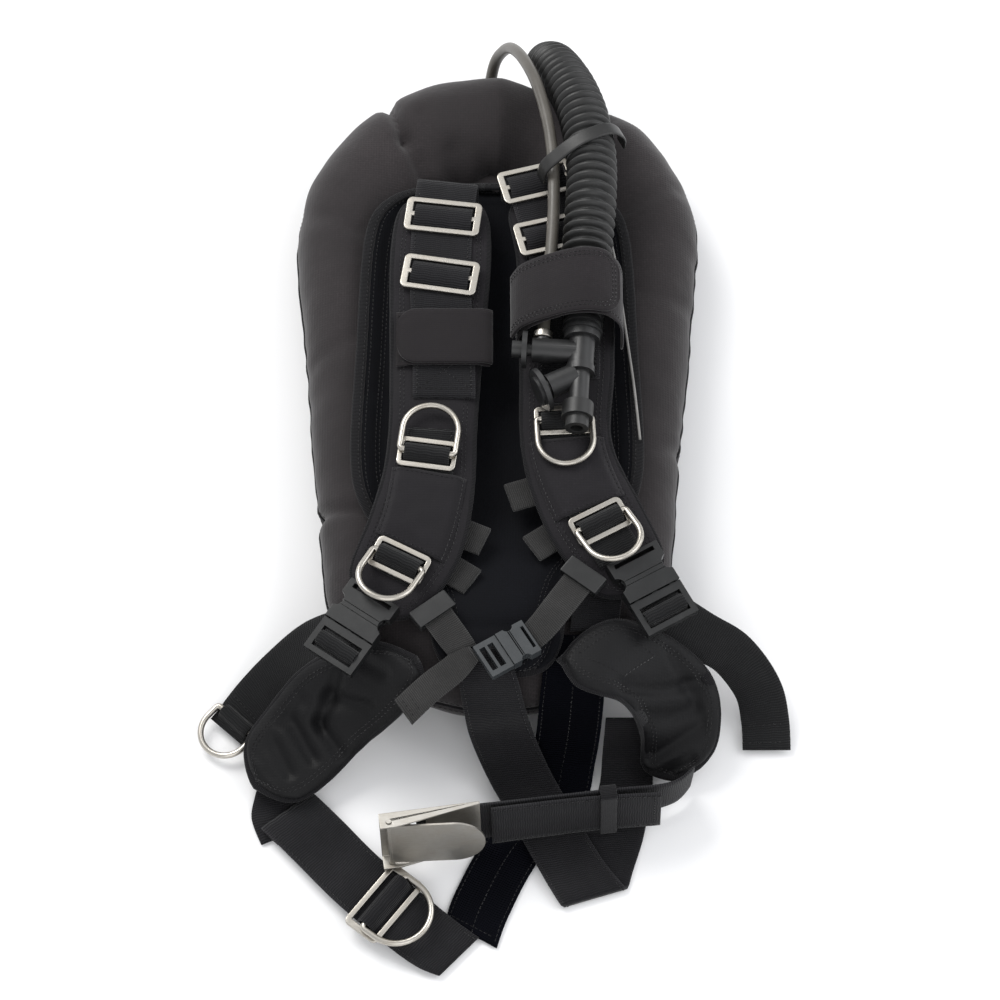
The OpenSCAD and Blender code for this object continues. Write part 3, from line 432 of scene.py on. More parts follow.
def look():
    cam_data = bpy.data.cameras.new("Camera")
    cam = add_to_scene("Camera", cam_data)
    e = math.radians(CAMERA_ELEVATION)
    cam.location = (0, -CAMERA_DISTANCE * math.cos(e), CAMERA_DISTANCE * math.sin(e))
    cam.rotation_euler = (math.radians(90 - CAMERA_ELEVATION), 0, 0)
    cam_data.sensor_width = FILM_WIDTH
    cam_data.lens = LENS_IN_IMAGE_WIDTHS * FILM_WIDTH
    cam_data.shift_x = 0.003
    cam_data.shift_y = 0.005
    bpy.context.scene.camera = cam

    me = bpy.data.meshes.new("Floor")
    corners = [(x * FLOOR_HALF, y * FLOOR_HALF, FLOOR_Z) for x, y in ((-1, -1), (1, -1), (1, 1), (-1, 1))]
    me.from_pydata(corners, [], [(0, 1, 2, 3)])
    m, nt, bs, _ = mat_base("FloorWhite")
    set_inputs(nt, bs, {"Base Color": (0.86, 0.86, 0.865, 1), "Roughness": 0.8})
    me.materials.append(m)
    floor = add_to_scene("Floor", me)

    w = bpy.data.worlds.new("Studio")
    bpy.context.scene.world = w
    w.use_nodes = True
    set_inputs(w.node_tree, w.node_tree.nodes["Background"], {0: (0.97, 0.98, 1.0, 1), 1: 0.75})
    for name, loc, size, power, color in (("Key", (-1.4, 1.5, 2.3), 1.6, 62, (1, 0.99, 0.97)),
                                          ("Fill", (2.0, 0.2, 1.8), 2.2, 30, (0.97, 0.98, 1.0)),
                                          ("Front", (0.2, -2.0, 1.6), 2.0, 16, (1, 1, 1))):
        light = bpy.data.lights.new(name, "AREA")
        light.energy, light.size, light.color = power, size, color
        ob = add_to_scene(name, light)
        ob.location = loc
        ob.rotation_euler = (-Vector(loc)).to_track_quat("-Z", "Y").to_euler()
    bpy.context.scene.view_settings.view_transform = "Standard"


look()

# ---- low-pressure hose ----
LP_ROUTE = [
    [36.6, 75.3, 142.5], [38.4, 100, 141], [41, 125, 138], [43, 149, 136], [46, 200, 133], [46, 248, 132],
    [42, 290, 128], [33, 335, 119], [22, 372, 102], [12, 398, 80], [4, 410, 56], [-2, 411, 38], [-6, 402, 19],
    [-8, 386, 8.5], [-8, 368, 5.5], [-7, 340, 5.5], [-8, 300, 5.5], [-14, 250, 5.5], [-26, 190, 5.5],
    [-38, 130, 5.5], [-42, 96, 5.5]]


def make_lp_hose():
    pts, s = resample(LP_ROUTE, 5.0)
    ob = tube("lp_hose_run", pts, 4.95, 20, M_LP)
    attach(ob, "vest")
    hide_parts("lp_hose")


make_lp_hose()


# ---- surface helpers ----
def add_modifier(ob, kind, **props):
    m = ob.modifiers.new(kind.title(), kind)
    for k, v in props.items():
        setattr(m, k, v)
    return m


def apply_all(ob):
    bpy.context.view_layer.update()
    dep = bpy.context.evaluated_depsgraph_get()
    me = bpy.data.meshes.new_from_object(ob.evaluated_get(dep))
    ob.modifiers.clear()
    old = ob.data
    ob.data = me
    bpy.data.meshes.remove(old)


def cut(ob, *cutters):
    for c in cutters:
        add_modifier(ob, "BOOLEAN", operation="DIFFERENCE", solver="EXACT", object=c)
    apply_all(ob)
    for c in cutters:
        bpy.data.objects.remove(c)


def cylinder(name, r, h, move):
    """A cylinder along +Z from its origin, then moved by a function of its points."""
    a = circle(48)
    ring = np.stack([r * np.cos(a), r * np.sin(a), np.zeros(len(a))], 1)
    ob = loft(name, [ring, ring + [0, 0, h]], None)
    co = np.empty(len(ob.data.vertices) * 3)
    ob.data.vertices.foreach_get("co", co)
    ob.data.vertices.foreach_set("co", (move(co.reshape(-1, 3) / MM) * MM).ravel())
    ob.data.update()
    return ob


def tree_of(ob):
    return BVHTree.FromObject(ob, bpy.context.evaluated_depsgraph_get())


def on_surface(tree, pts, ups, reach=16.0, lift=0.0):
    """Points dropped along -up onto a mesh, in millimetres."""
    out = []
    for p, u in zip(pts, unit(ups)):
        hit = tree.ray_cast(Vector((p + u * reach) * MM), Vector(-u), 2 * reach * MM)[0]
        out.append(p if hit is None else np.array(hit) / MM + u * lift)
    return np.array(out)


def top_line(keys, across_share, inset, up_mm, start=0.0):
    """A line along a strip, at a share of its inset half width, and its up directions."""
    k, s = resample(keys, 3.0)
    c, across, up = frames_of(k)
    off = across_share * (k[:, 5:6] / 2 - inset)
    return (c + across * off + up * up_mm)[s >= start], up[s >= start]


def edge_rows(keys, inset, up_mm, **kw):
    return [top_line(keys, q, inset, up_mm, **kw) for q in (-1, 1)]


def strip_reader(keys, inset):
    """Reads a strip's middle, up and inset half width vector at a distance before its end."""
    k, s = resample(keys, 2.0)
    c, across, up = frames_of(k)
    rows = np.hstack([c, across, up, k[:, 5:6]])

    def read(before_end):
        q = sample(rows, s, s[-1] - before_end)
        return q[:3], q[6:9], q[3:6] * (q[9] / 2 - inset)
    return read


def cross_line(keys, before_end):
    """A stitch line across a strip at a distance before its end."""
    mid, up, half = strip_reader(keys, 3.0)(before_end)
    return mid + np.outer(np.linspace(-1, 1, 9), half) + up * 0.95, np.tile(up, (9, 1))


def box_stitch(keys):
    """A box with a cross in it, sewn through the last part of a strip."""
    read = strip_reader(keys, 4.0)
    runs = []
    a, b = 42, 8
    for (d0, f0), (d1, f1) in [((a, -1), (b, -1)), ((b, -1), (b, 1)), ((b, 1), (a, 1)), ((a, 1), (a, -1)),
                               ((a, -1), (b, 1)), ((a, 1), (b, -1))]:
        pts, ups = [], []
        for t in np.linspace(0, 1, 8):
            mid, up, half = read(d0 + (d1 - d0) * t)
            pts.append(mid + half * (f0 + (f1 - f0) * t) + up * 0.9)
            ups.append(up)
        runs.append((np.array(pts), np.array(ups)))
    return runs


# ---- wing ----
HALF_W, TOP_RISE, LOW_HALF_W, LOW_DEPTH, WIDE_Y, LOW_Y, TUBE_R = 128, 131, 98, 76, 215, -90, 42
ELBOW_AT, ELBOW_R = (44, 374.4, 30), 18
VALVE_AT, VALVE_R = (-60, -128, -1), 16
PANEL_Z = 50
BAND_SLOTS = [(x, y) for y in (170, 20) for x in (-55, 55)]
BOLTS = [(0, 60 + 139.7, 9), (0, 60 - 139.7, 9)] + [(x, y, 3.4) for x in (-30, 30) for y in (100, -30)]


def wing_stations():
    """The tube's middle line in plan, and its outward directions."""
    def bow(cy, rx, ry, angles):
        a = np.radians(angles)
        return np.hstack([np.stack([rx * np.cos(a), cy + ry * np.sin(a)], 1),
                          unit(np.stack([np.cos(a) / rx, np.sin(a) / ry], 1))])

    def side(start, end, out):
        return np.hstack([start + np.linspace(0.012, 0.988, 80)[:, None] * np.subtract(end, start),
                          np.tile([out, 0], (80, 1))])
    return np.vstack([bow(WIDE_Y, HALF_W, TOP_RISE, np.arange(0, 180.1, 1.5)),
                      side((-HALF_W, WIDE_Y), (-LOW_HALF_W, LOW_Y), -1),
                      bow(LOW_Y, LOW_HALF_W, LOW_DEPTH, np.arange(180, 360.1, 2.25)),
                      side((LOW_HALF_W, LOW_Y), (HALF_W, WIDE_Y), 1)])


# Each crease: ends in plan, depth and half width.
WING_CREASES = [
    ((-94, 352), (-76, 304), 9.5, 6.0), ((-76, 304), (-50, 258), 5.0, 7.0), ((-64, 330), (-54, 288), 3.0, 9.0),
    ((-36, 294), (-32, 270), 4.0, 11.0), ((-158, -36), (-98, -50), 4.5, 5.5),
    ((-150, 96), (-96, 120), 1.4, 8.0), ((-160, 240), (-112, 214), 1.6, 9.0), ((96, 330), (74, 288), 2.4, 8.0),
    ((150, 262), (104, 236), 2.0, 8.0), ((160, 150), (112, 158), 1.3, 8.0), ((152, 20), (100, 4), 2.0, 7.0),
    ((-128, -140), (-84, -112), 2.4, 6.0), ((120, -138), (80, -108), 2.4, 6.0),
    ((-20, -196), (-14, -140), 2.0, 7.0), ((34, -194), (26, -136), 2.0, 6.0)]


def segment_distance(p, a, b):
    a, b = np.array(a, float), np.array(b, float)
    t = np.clip(((p - a) @ (b - a)) / ((b - a) @ (b - a)), 0, 1)
    return np.linalg.norm(p - a - np.outer(t, b - a), axis=1)


def section(station, r, a, zc):
    """The tube's section. Towards the head it reaches further inwards."""
    x, y, nx, ny = station
    inner = 1 + 0.8 * max(0, y - WIDE_Y) / TOP_RISE
    reach = r * np.cos(a) * np.where(np.cos(a) < 0, inner, 1.0)
    return np.stack([x + nx * reach, y + ny * reach, zc + r * np.sin(a)], 1)


def wing_ports():
    """Room for the hose elbow at the top and the dump valve at the back."""
    return (cylinder("cut_elbow", ELBOW_R, 30, lambda v: v[:, [0, 2, 1]] + ELBOW_AT),
            cylinder("cut_valve", VALVE_R, 20, lambda v: v + VALVE_AT))


def top_shape(x, y):
    """Radius and centre height of the wing's tube: raised under the straps' top, lower beside the hose."""
    if y < WIDE_Y:
        return TUBE_R, TUBE_R
    lift = ease(max(0, min(1, (38 - abs(x + 6)) / 22)))
    dent = max(0, 1 - ((x - 48) / 46) ** 2) ** 1.5
    return TUBE_R - 6 * lift - 7 * dent, TUBE_R + 8 * lift - 7 * dent


def wing_section(station, along, a):
    """The puffed tube's radii at one station: puckered at its seams, with its creases, and its centre height."""
    x, y = station[:2]
    r, zc = top_shape(x, y)
    rr = np.full(len(a), r - 0.6)
    for seam in (0.0, math.pi):
        d = np.abs((a - seam + math.pi) % (2 * math.pi) - math.pi)
        pucker = 0.5 + 0.5 * math.sin(along / 4.2 + 2.4 * wob((x, y, seam * 40), 34.0, 3.0))
        deep = 1.4 * (0.55 + 0.9 * wob((x, y, 9), 60.0, 5.0 + seam))
        rr -= np.exp(-(d / 0.36) ** 2) * pucker * deep + 1.4 * np.exp(-(d / 0.09) ** 2)
    p = section(station, rr, a, zc)
    swell = np.array([wob(q, 58.0, 2.0) * 1.7 + wob(q, 21.0, 8.0) * 0.6 for q in p]) - 0.9
    for c0, c1, depth, width in WING_CREASES:
        d = segment_distance(p[:, :2], c0, c1)
        swell -= depth * np.exp(-(d / width) ** 2) * np.clip((np.sin(a) + 0.4) / 0.4, 0, 1)
    return rr + swell, zc


def make_panel(st):
    """The flat sheet across the ring, with its slots and bolt holes."""
    outline = st[:, :2] * 0.9 + [0, 4]
    panel = loft("wing_panel", [[(x, y, PANEL_Z + h) for x, y in outline] for h in (0, 3)], M_WING)
    corners = ((-1, -1), (1, -1), (1, 1), (-1, 1))
    slots = [loft("cut_band", [[(x + i * 6, y + j * 28, z) for i, j in corners] for z in (46, 56)], None)
             for x, y in BAND_SLOTS]
    cut(panel, *slots, *(cylinder("cut_hole", r, 10, lambda v: v + (x, y, 46)) for x, y, r in BOLTS))
    return panel


def make_wing():
    st = wing_stations()
    a = circle(72)
    rings, film = [], []
    for i, along in enumerate(distances(st[:, :2])):
        rr, zc = wing_section(st[i], along, a)
        p = section(st[i], rr, a, zc)
        p[:, 2] = np.maximum(p[:, 2], 0.15)
        rings.append(p)
        if i % 2 == 0:
            inner = section(st[i], rr - 3.4, a, zc)[::2]
            inner[:, 2] = np.maximum(inner[:, 2], 3.0)
            film.append(inner)
    wing = loft("wing_cover", rings, M_WING, closed=True)
    cut(wing, *wing_ports())
    bladder = loft("bladder_film", film, M_FILM, closed=True)
    cut(bladder, *wing_ports())
    settle(bladder, "vest", "bladder_film", "air_bladder")
    wing = join("wing_cover", [wing, make_panel(st)])
    shade_smooth(wing)
    wing.data.set_sharp_from_angle(angle=math.radians(50))
    settle(wing, "vest", "wing_fabric", "wing_shell")

    # The seam welt around the outer edge, broken beside the hose, and its stitching on both sides
    welt, rows = [], {1: [], -1: []}
    for x, y, nx, ny in st:
        r, zc = top_shape(x, y)
        welt.append([x + nx * (r - 2.6), y + ny * (r - 2.6), zc])
        for q in rows:
            rows[q].append([x + nx * (r + 4), y + ny * (r + 4), zc + q * 5.5])
    gap = [i for i, (x, y, _, _) in enumerate(st) if y > 250 and 18 < x < 70]
    order = np.r_[gap[-1] + 1:len(st), 0:gap[0]]
    tree = tree_of(wing)
    ups = np.hstack([st[:, 2:], np.zeros((len(st), 1))])
    cord = on_surface(tree, np.array(welt), ups, lift=0.3)
    settle(tube("wing_seam_welt", cord[order], 1.7, 10, M_BIND), "vest", "wing_fabric")
    runs = [(on_surface(tree, np.array(rows[q]), ups)[order], ups[order]) for q in rows]
    sew("wing_stitching", runs, "vest", "wing_fabric", length=2.8, gap=1.6)


make_wing()


# ---- pads ----
def round_end(d, radius):
    """How far an outline draws in at a distance from its rounded end."""
    return 0.0 if d >= radius else radius - math.sqrt(max(0.0, radius ** 2 - (radius - max(d, 0.0)) ** 2))


def pad_stations(keys, corner, spacing):
    """Stations along a pad, closer together at its rounded ends."""
    k, s = resample(keys, spacing)
    total = s[-1]
    extra = [corner * (1 - math.cos(t)) for t in np.linspace(0.25, 1.3, 4)]
    want = np.unique(np.round(np.concatenate([s, extra, [total - e for e in extra]]), 2))
    want = want[(want >= 0) & (want <= total)]
    return sample(k, s, want), want


def make_pad(name, keys, thickness, mat, puff, corner=22.0, spacing=5.0, seams=(), n_across=15, ribs=(), creases=()):
    """A padded strip. seams are distances along it, ribs are shares of the half width; both are sewn thin.
    Creases are dents in its upper face, each with its ends in plan, depth and half width."""
    keys = [list(q) + [0] * (7 - len(q)) for q in keys]
    k, s = pad_stations(keys, corner, spacing)
    c, across, up = frames_of(k)
    us = np.sin(np.linspace(-np.pi / 2, np.pi / 2, n_across)) * 0.5 + np.linspace(-1, 1, n_across) * 0.5
    rings, pins, outline = [], [], [[], []]
    for i in range(len(k)):
        end = min(s[i], s[-1] - s[i])
        half = max(k[i, 5] / 2 - round_end(end, corner), 3.0)
        fullness = 0.3 + 0.7 * math.sin(min(1.0, end / 9.0) * math.pi / 2)
        ring, pin = [], []
        for side, row in ((-1, us), (1, us[::-1])):
            for u in row:
                body = math.sqrt(1 - 0.93 * u ** 4) * fullness
                sewn = max([0.0] + [math.exp(-((s[i] - d) / 3.4) ** 2) for d in seams]
                           + [math.exp(-((u - v) * half / 3.0) ** 2) for v in ribs])
                flat = c[i] + across[i] * u * half
                t = thickness / 2 * body * (1 - 0.62 * sewn) + 0.35 * wob(flat, 24.0, 4.0) * body * (1 - sewn)
                for c0, c1, depth, width in creases if side > 0 else ():
                    t -= depth * body * math.exp(-(segment_distance(flat[None, :2], c0, c1)[0] / width) ** 2)
                ring.append(flat + up[i] * (side * t - (1 - u * u) * k[i, 6]))
                pin.append(max(sewn, 1.0 if abs(u) > 0.93 or end < 3 else 0.0))
        rings.append(ring)
        pins.append(pin)
        for q in (0, 1):
            out = across[i] * (2 * q - 1)
            outline[q].append((c[i] + out * half, up[i], out))
    ob = loft(name, rings, mat)
    inflate(ob, np.array(pins).ravel(), puff)
    add_modifier(ob, "SUBSURF", levels=1, render_levels=1)
    apply_all(ob)
    shade_smooth(ob)
    return (ob, *(np.array(q) for q in zip(*(outline[0] + outline[1][::-1]))))


CLOTH_FRAMES = 20
CLOTH = dict(quality=5, mass=0.25, use_pressure=True, uniform_pressure_force=4.0, tension_stiffness=18,
             compression_stiffness=12, shear_stiffness=6, bending_stiffness=0.6)


def inflate(ob, pins, cap):
    """A short cloth run with pressure, seams held, and each point's travel capped."""
    rest = np.array([v.co[:] for v in ob.data.vertices])
    held = ob.vertex_groups.new(name="held")
    for i, w in enumerate(pins):
        held.add([i], float(min(1.0, w)), "REPLACE")
    m = ob.modifiers.new("Cloth", "CLOTH")
    for k, v in CLOTH.items():
        setattr(m.settings, k, v)
    m.settings.vertex_group_mass = "held"
    m.settings.effector_weights.gravity = 0
    m.collision_settings.use_collision = False
    sc = bpy.context.scene
    sc.frame_start, sc.frame_end = 1, CLOTH_FRAMES
    m.point_cache.frame_start, m.point_cache.frame_end = 1, CLOTH_FRAMES
    for f in range(1, CLOTH_FRAMES + 1):
        sc.frame_set(f)
    dep = bpy.context.evaluated_depsgraph_get()
    new = np.array([v.co[:] for v in ob.evaluated_get(dep).data.vertices])
    ob.modifiers.clear()
    ob.vertex_groups.clear()
    sc.frame_set(1)
    move = (new - rest) / MM
    move *= np.minimum(1.0, cap / np.maximum(np.linalg.norm(move, axis=1, keepdims=True), 1e-6))
    ob.data.vertices.foreach_set("co", (rest + move * MM).ravel())
    ob.data.update()


def closed_smooth(p):
    for _ in range(2):
        p = 0.5 * p + 0.25 * (np.roll(p, 1, axis=0) + np.roll(p, -1, axis=0))
    return p


def back_to_start(a):
    return np.vstack([a, a[:1]])


def round_the_loop(p):
    """Along and away directions of a closed line's points."""
    return unit(np.roll(p, -1, axis=0) - np.roll(p, 1, axis=0))


def binding(name, pts, ups, outs, half_w, half_t):
    """Tape folded over a pad's edge, all the way around."""
    p = closed_smooth(pts - outs * 3.4)
    d = distances(back_to_start(p))
    want = np.linspace(0, d[-1], int(d[-1] / 4.0), endpoint=False)
    p, u = sample(back_to_start(p), d, want), unit(sample(back_to_start(ups), d, want))
    along = round_the_loop(p)
    side = unit(np.cross(along, u))
    u = np.cross(side, along)
    a = circle(14)
    sx, sy = [np.sign(q) * np.abs(q) ** 0.7 for q in (np.cos(a), np.sin(a))]
    sx, sy = sx * half_w, sy * half_t
    rings = []
    for i in range(len(p)):
        w = 1 + 0.07 * wob(p[i], 12.0, 6.0)
        rings.append(p[i] + np.outer(sx * w, side[i]) + np.outer(sy * w, u[i]))
    return loft(name, rings, M_BIND, closed=True, uv=[strip_uv(q, sx) for q in want])


def pad_piece(node_name, keys, thickness, mat, fill, rows=(7.5, 10.5), bind=(4.6, 2.1), **kw):
    """A pad with its edge tape, and stitching at distances in from its edge."""
    name = node_name + "_cover"
    ob, pts, ups, outs = make_pad(name, keys, thickness, mat, **kw)
    settle(ob, "vest", "pad_fabric", node_name)
    tape = settle(binding(name + "_binding", pts, ups, outs, *bind), "vest", "pad_fabric")
    tree, round_ups = tree_of(ob), back_to_start(ups)
    runs = [(on_surface(onto, back_to_start(closed_smooth(pts - outs * inset)), round_ups), round_ups)
            for inset, onto in [(r, tree) for r in rows] + [(5.4, tree_of(tape))]]
    sew(name + "_stitching", runs, "vest", "pad_fabric")
    return tree


BACK_KEYS = [
    [0, 254, 86, 0, 0, 100, 8], [0, 240, 91, 0, 0, 172, 18], [0, 205, 93, 0, 0, 214, 22],
    [0, 90, 93, 0, 0, 226, 22], [0, -20, 93, 0, 0, 230, 22], [0, -70, 92, 0, 0, 190, 18],
    [0, -105, 91, 0, 0, 130, 8], [0, -140, 91, 0, 0, 108, 0], [0, -172, 91, 0, 0, 98, 0],
    [0, -194, 85, 0, 0, 76, 0]]
RIGHT_PAD_KEYS = [
    [-47, 232, 106, 2, 0, 50], [-45, 212, 109, 0, 0, 72], [-46, 165, 111, 0, 0, 80], [-49, 70, 111, -2, 0, 72],
    [-51, 8, 111, -4, 0, 68], [-54, -38, 110, -12, 0, 72], [-64, -84, 106.5, -24, 0, 78],
    [-82, -120, 99, -32, 0, 72], [-96, -141, 92, -36, 0, 54]]
LEFT_PAD_KEYS = [
    [42, 232, 106, 0, 0, 62], [48, 212, 109, 4, 0, 76], [55, 165, 111, 2, 0, 76], [56, 70, 111, 0, 0, 74],
    [54, 8, 111, 3, 0, 70], [60, -28, 110, 14, 0, 72], [76, -68, 107, 25, 0, 76], [97, -104, 100.5, 31, 0, 70],
    [112, -125, 95, 33, 0, 56]]
RIGHT_HIP_KEYS = [
    [-64, -186, 93, -44, 0, 36], [-80, -188, 87, -42, -3, 58], [-104, -194, 66, -44, -10, 72],
    [-130, -204, 44, -48, -16, 76], [-154, -226, 29, -50, -14, 74], [-176, -246, 20, -50, -8, 64],
    [-188, -256, 17, -50, -3, 40]]
LEFT_HIP_KEYS = [
    [50, -187, 96, 82, 0, 20], [66, -186, 97, 80, 0, 46], [86, -184, 96, 78, 0, 64],
    [106, -186, 88, 72, 3, 64], [126, -193, 70, 58, 8, 68], [141, -206, 49, 40, 10, 72],
    [144, -224, 32, 20, 8, 64], [140, -241, 20, 8, 2, 54], [137, -249, 16, 4, 0, 38]]
RIGHT_HIP_CREASES = [
    ((-122, -182), (-138, -214), 7.0, 5.5), ((-138, -214), (-122, -236), 6.0, 5.5),
    ((-160, -212), (-144, -238), 6.5, 6.0), ((-106, -176), (-84, -190), 4.5, 5.5),
    ((-130, -196), (-98, -208), 5.6, 5.5), ((-174, -226), (-162, -250), 4.2, 5.0),
    ((-152, -196), (-168, -210), 4.5, 5.0)]
LEFT_HIP_CREASES = [
    ((96, -208), (164, -184), 7.5, 5.0), ((112, -218), (154, -204), 6.5, 5.5),
    ((120, -236), (160, -214), 5.5, 5.5), ((132, -170), (152, -196), 4.4, 6.0),
    ((128, -248), (152, -238), 4.5, 5.0)]
HIP_DIAMOND = [(62, -186), (92, -163), (122, -180), (98, -201), (62, -186)]
HIP = dict(thickness=16, mat=M_HIP, fill=0.7, puff=1.2, bind=(5.0, 2.6), spacing=3.5, n_across=25)

pad_piece("back_pad", BACK_KEYS, 12, M_BACK, 0.7, corner=16, spacing=6, seams=(201, 413), n_across=29,
          rows=(7.5, 10.5, 19.0, 22.0), ribs=(-0.8, 0.8), puff=1.6)
pad_piece("right_shoulder_pad", RIGHT_PAD_KEYS, 10, M_PAD, 0.6, puff=0.35)
pad_piece("left_shoulder_pad", LEFT_PAD_KEYS, 10, M_PAD, 0.6, puff=0.35)
pad_piece("right_hip_pad", RIGHT_HIP_KEYS, creases=RIGHT_HIP_CREASES, **HIP)
LEFT_HIP_TREE = pad_piece("left_hip_pad", LEFT_HIP_KEYS, creases=LEFT_HIP_CREASES, **HIP)


def plan_line(corners, tree):
    """A line given by its corners in plan, dropped onto a pad."""
    p = np.vstack([np.linspace(a, b, 9)[:-1] for a, b in zip(corners, corners[1:])])
    ups = np.tile([0.0, 0.0, 1.0], (len(p), 1))
    return on_surface(tree, np.hstack([p, 100 * ups[:, 2:]]), ups, reach=40), ups


sew("left_hip_diamond", [plan_line(HIP_DIAMOND, LEFT_HIP_TREE)], "vest", "pad_fabric")

# Thin round piping along the back pad's edge on the wearer's left; its pale colour is a painted highlight for the
# bright reflected line along that edge
PIPING_ROUTE = [[93, 196, 97.5], [98, 165, 98], [104, 110, 98], [110, 56, 98], [114, 7, 98]]
settle(tube("back_pad_highlight_piping", resample(PIPING_ROUTE, 4.0)[0], 1.1, 10, M_HIGHLIGHT_PIPING), "vest", "pad_fabric")

# ---- webbing ----
def keys_of(width, rows):
    """Strip keys: x, y, z, the across direction's turn and tilt, and width. Rows may leave off the last two."""
    return [[*q, *[0, width][len(q) - 4:]] for q in rows]


RIGHT_WEB_KEYS = keys_of(50, [
    [-40, 226, 96, -6], [-40, 240, 102, -7], [-40.5, 241, 112, -7], [-42, 226, 115.6, -7],
    [-44, 203, 116.7, -7], [-46, 147, 117.5, -8], [-43, 88, 117.5, -3], [-42, 34, 117.5, 0]])
LEFT_WEB_KEYS = keys_of(50, [
    [28, 240, 94, 14], [27, 254, 100, 15], [28, 257, 110, 15], [33, 238, 115.5, 15], [46, 187, 116.7, 14],
    [54, 150, 117.5, 8], [57, 80, 117.5, 0], [57, 52, 117.5, 0]])
CHEST_LIFT = 6.3


def raised(keys):
    """Chest webbing follows its pad."""
    return [[q[0], q[1], q[2] + CHEST_LIFT, q[3], q[4], 38] for q in keys]


RIGHT_CHEST_KEYS = keys_of(38, [[-52, 6, 117.3, -4]]) + raised(RIGHT_PAD_KEYS[5:8])
LEFT_CHEST_KEYS = keys_of(38, [[54, 30, 117.3, 2], [54, 8, 117.3, 3]]) + raised(LEFT_PAD_KEYS[5:8])
RIGHT_TAIL_KEYS = keys_of(38, [
    [-104, -147, 83, -98, -6], [-124, -150, 70, -88, -10], [-150, -152, 48, -80, -14],
    [-174, -166, 28, -66, -10], [-194, -184, 14, -52, -4], [-208, -202, 8, -44], [-213, -208, 6.5, -42]])
LEFT_TAIL_KEYS = keys_of(38, [
    [118, -128, 86, 60], [138, -140, 78, 58, 8], [161, -150, 64, 60, 20], [186, -158, 46, 44, 24],
    [206, -178, 26, 14, 18], [212, -200, 13, 4, 6], [213, -222, 5, 0]])
RIGHT_STERNUM_KEYS = keys_of(25, [
    [-55, -142, 106, 37], [-46, -154, 106, 37], [-36, -168, 104, 32], [-27, -181, 102.4, 22, 0, 24]])
LEFT_STERNUM_KEYS = keys_of(25, [
    [72, -116, 112.4, -38], [62, -128.6, 112.4, -38], [50, -145, 112, -42], [37, -162, 110, -52],
    [27.2, -172.2, 108, -59, 0, 24]])
STERNUM_TAIL_KEYS = keys_of(24, [
    [-20, -180, 102.4, -59], [-32, -196, 102, -59], [-52, -212, 99, -56, -6], [-72, -230, 93, -54, -10]])
RIGHT_WAIST_KEYS = keys_of(50, [
    [-152, -288, 4.2, 38, 0, 48], [-160, -279, 4.2, 37], [-164.5, -274.5, 6.1, 37], [-160, -279, 8, 38],
    [-138, -302, 8.6, 44], [-108, -334, 10.2, 50], [-70, -368, 10.2, 51], [-46, -386, 6.5, 49, 0, 48],
    [-29, -395, 4, 46, 0, 44]])
WAIST_RETURN_KEYS = keys_of(46, [
    [-166, -240, 8, 20, 0, 42], [-169, -258, 5, 14, 0, 44], [-170, -274, 1.8, 14], [-163, -292, 1.4, 24]])
LEFT_HIP_LINK_KEYS = keys_of(38, [
    [84, -110, 88.6, 8], [79, -131, 88.6, 6], [75.5, -157.5, 86.8, 0]])
LEFT_WAIST_KEYS = keys_of(50, [
    [152, -256, 31, -50, 86, 44], [141, -268, 33, -68, 87, 48], [124, -275, 34.5, -84, 88],
    [86, -283, 35, -84, 98], [30, -290, 35, -83, 98], [-34, -299.5, 39, -82, 98],
    [-62, -303.6, 42, -82, 98, 46]])
BELT_FRONT_KEYS = keys_of(50, [
    [-4, -300.5, 38, 98, 80], [30, -295, 36, 97, 81], [80, -288.4, 34.6, 96, 82], [127, -285, 34.6, 96, 84]])
CROTCH_KEYS = keys_of(46, [
    [60, -160, 85.2, 0], [60, -184, 80.6, 0, 0, 48], [58, -206, 60, -2, 0, 50], [56, -218, 30, -4, 0, 50],
    [52, -234, 8, -6, 0, 50], [44, -262, 2.2, -12, 0, 50], [10, -308, 2.2, -24], [-12, -352, 2.4, -26],
    [-20, -376, 2.2, -30]])
LOOP_KEYS = keys_of(50, [
    [-16, -176, 99.4, -4, 0, 44], [-8, -198, 94, -2, 0, 46], [-2, -214, 66, 2, 0, 48], [4, -224, 36, 4],
    [18, -248, 13, 6], [36, -280, 7.6, 6], [56, -318, 7.6, 10], [73, -344, 5.6, 17, 0, 52],
    [77, -344.5, 2.4, 17, 0, 52], [81, -330, 2.2, 12], [91, -294, 2.4, 2, 0, 48], [101, -254, 3.4, 0, 0, 42],
    [103, -228, 18, 0, 0, 40], [103, -212, 44, 0, 0, 36]])
# Where hardware sits: x, y, z, turn about Z and pitch.
WIDE_SLIDES = [[-44, 203, 117.9, -7, -1.5], [-46, 147, 118.7, -9, -0.8], [33, 238, 116.8, 15, -2],
               [46, 187, 118, 14, -1.3]]
WAIST_SLIDE = [-87, -355, 11.6, 52, 0]
RIGHT_UPPER = [-55, -18, 118.2, -8, 2]
RIGHT_LOWER = [-76, -108, 109.4, -28, 10.5]
LEFT_UPPER = [53, 12, 118.4, 3, 0]
LEFT_LOWER = [80.5, -76, 113.4, 29, 8.5]
TAIL_RING = [-206, -199.5, 9.3, -44, 8]
RIGHT_BUCKLE = [-112, -163, 104.5, -35, 9]
LEFT_BUCKLE = [120, -133, 110.5, 30, 7]
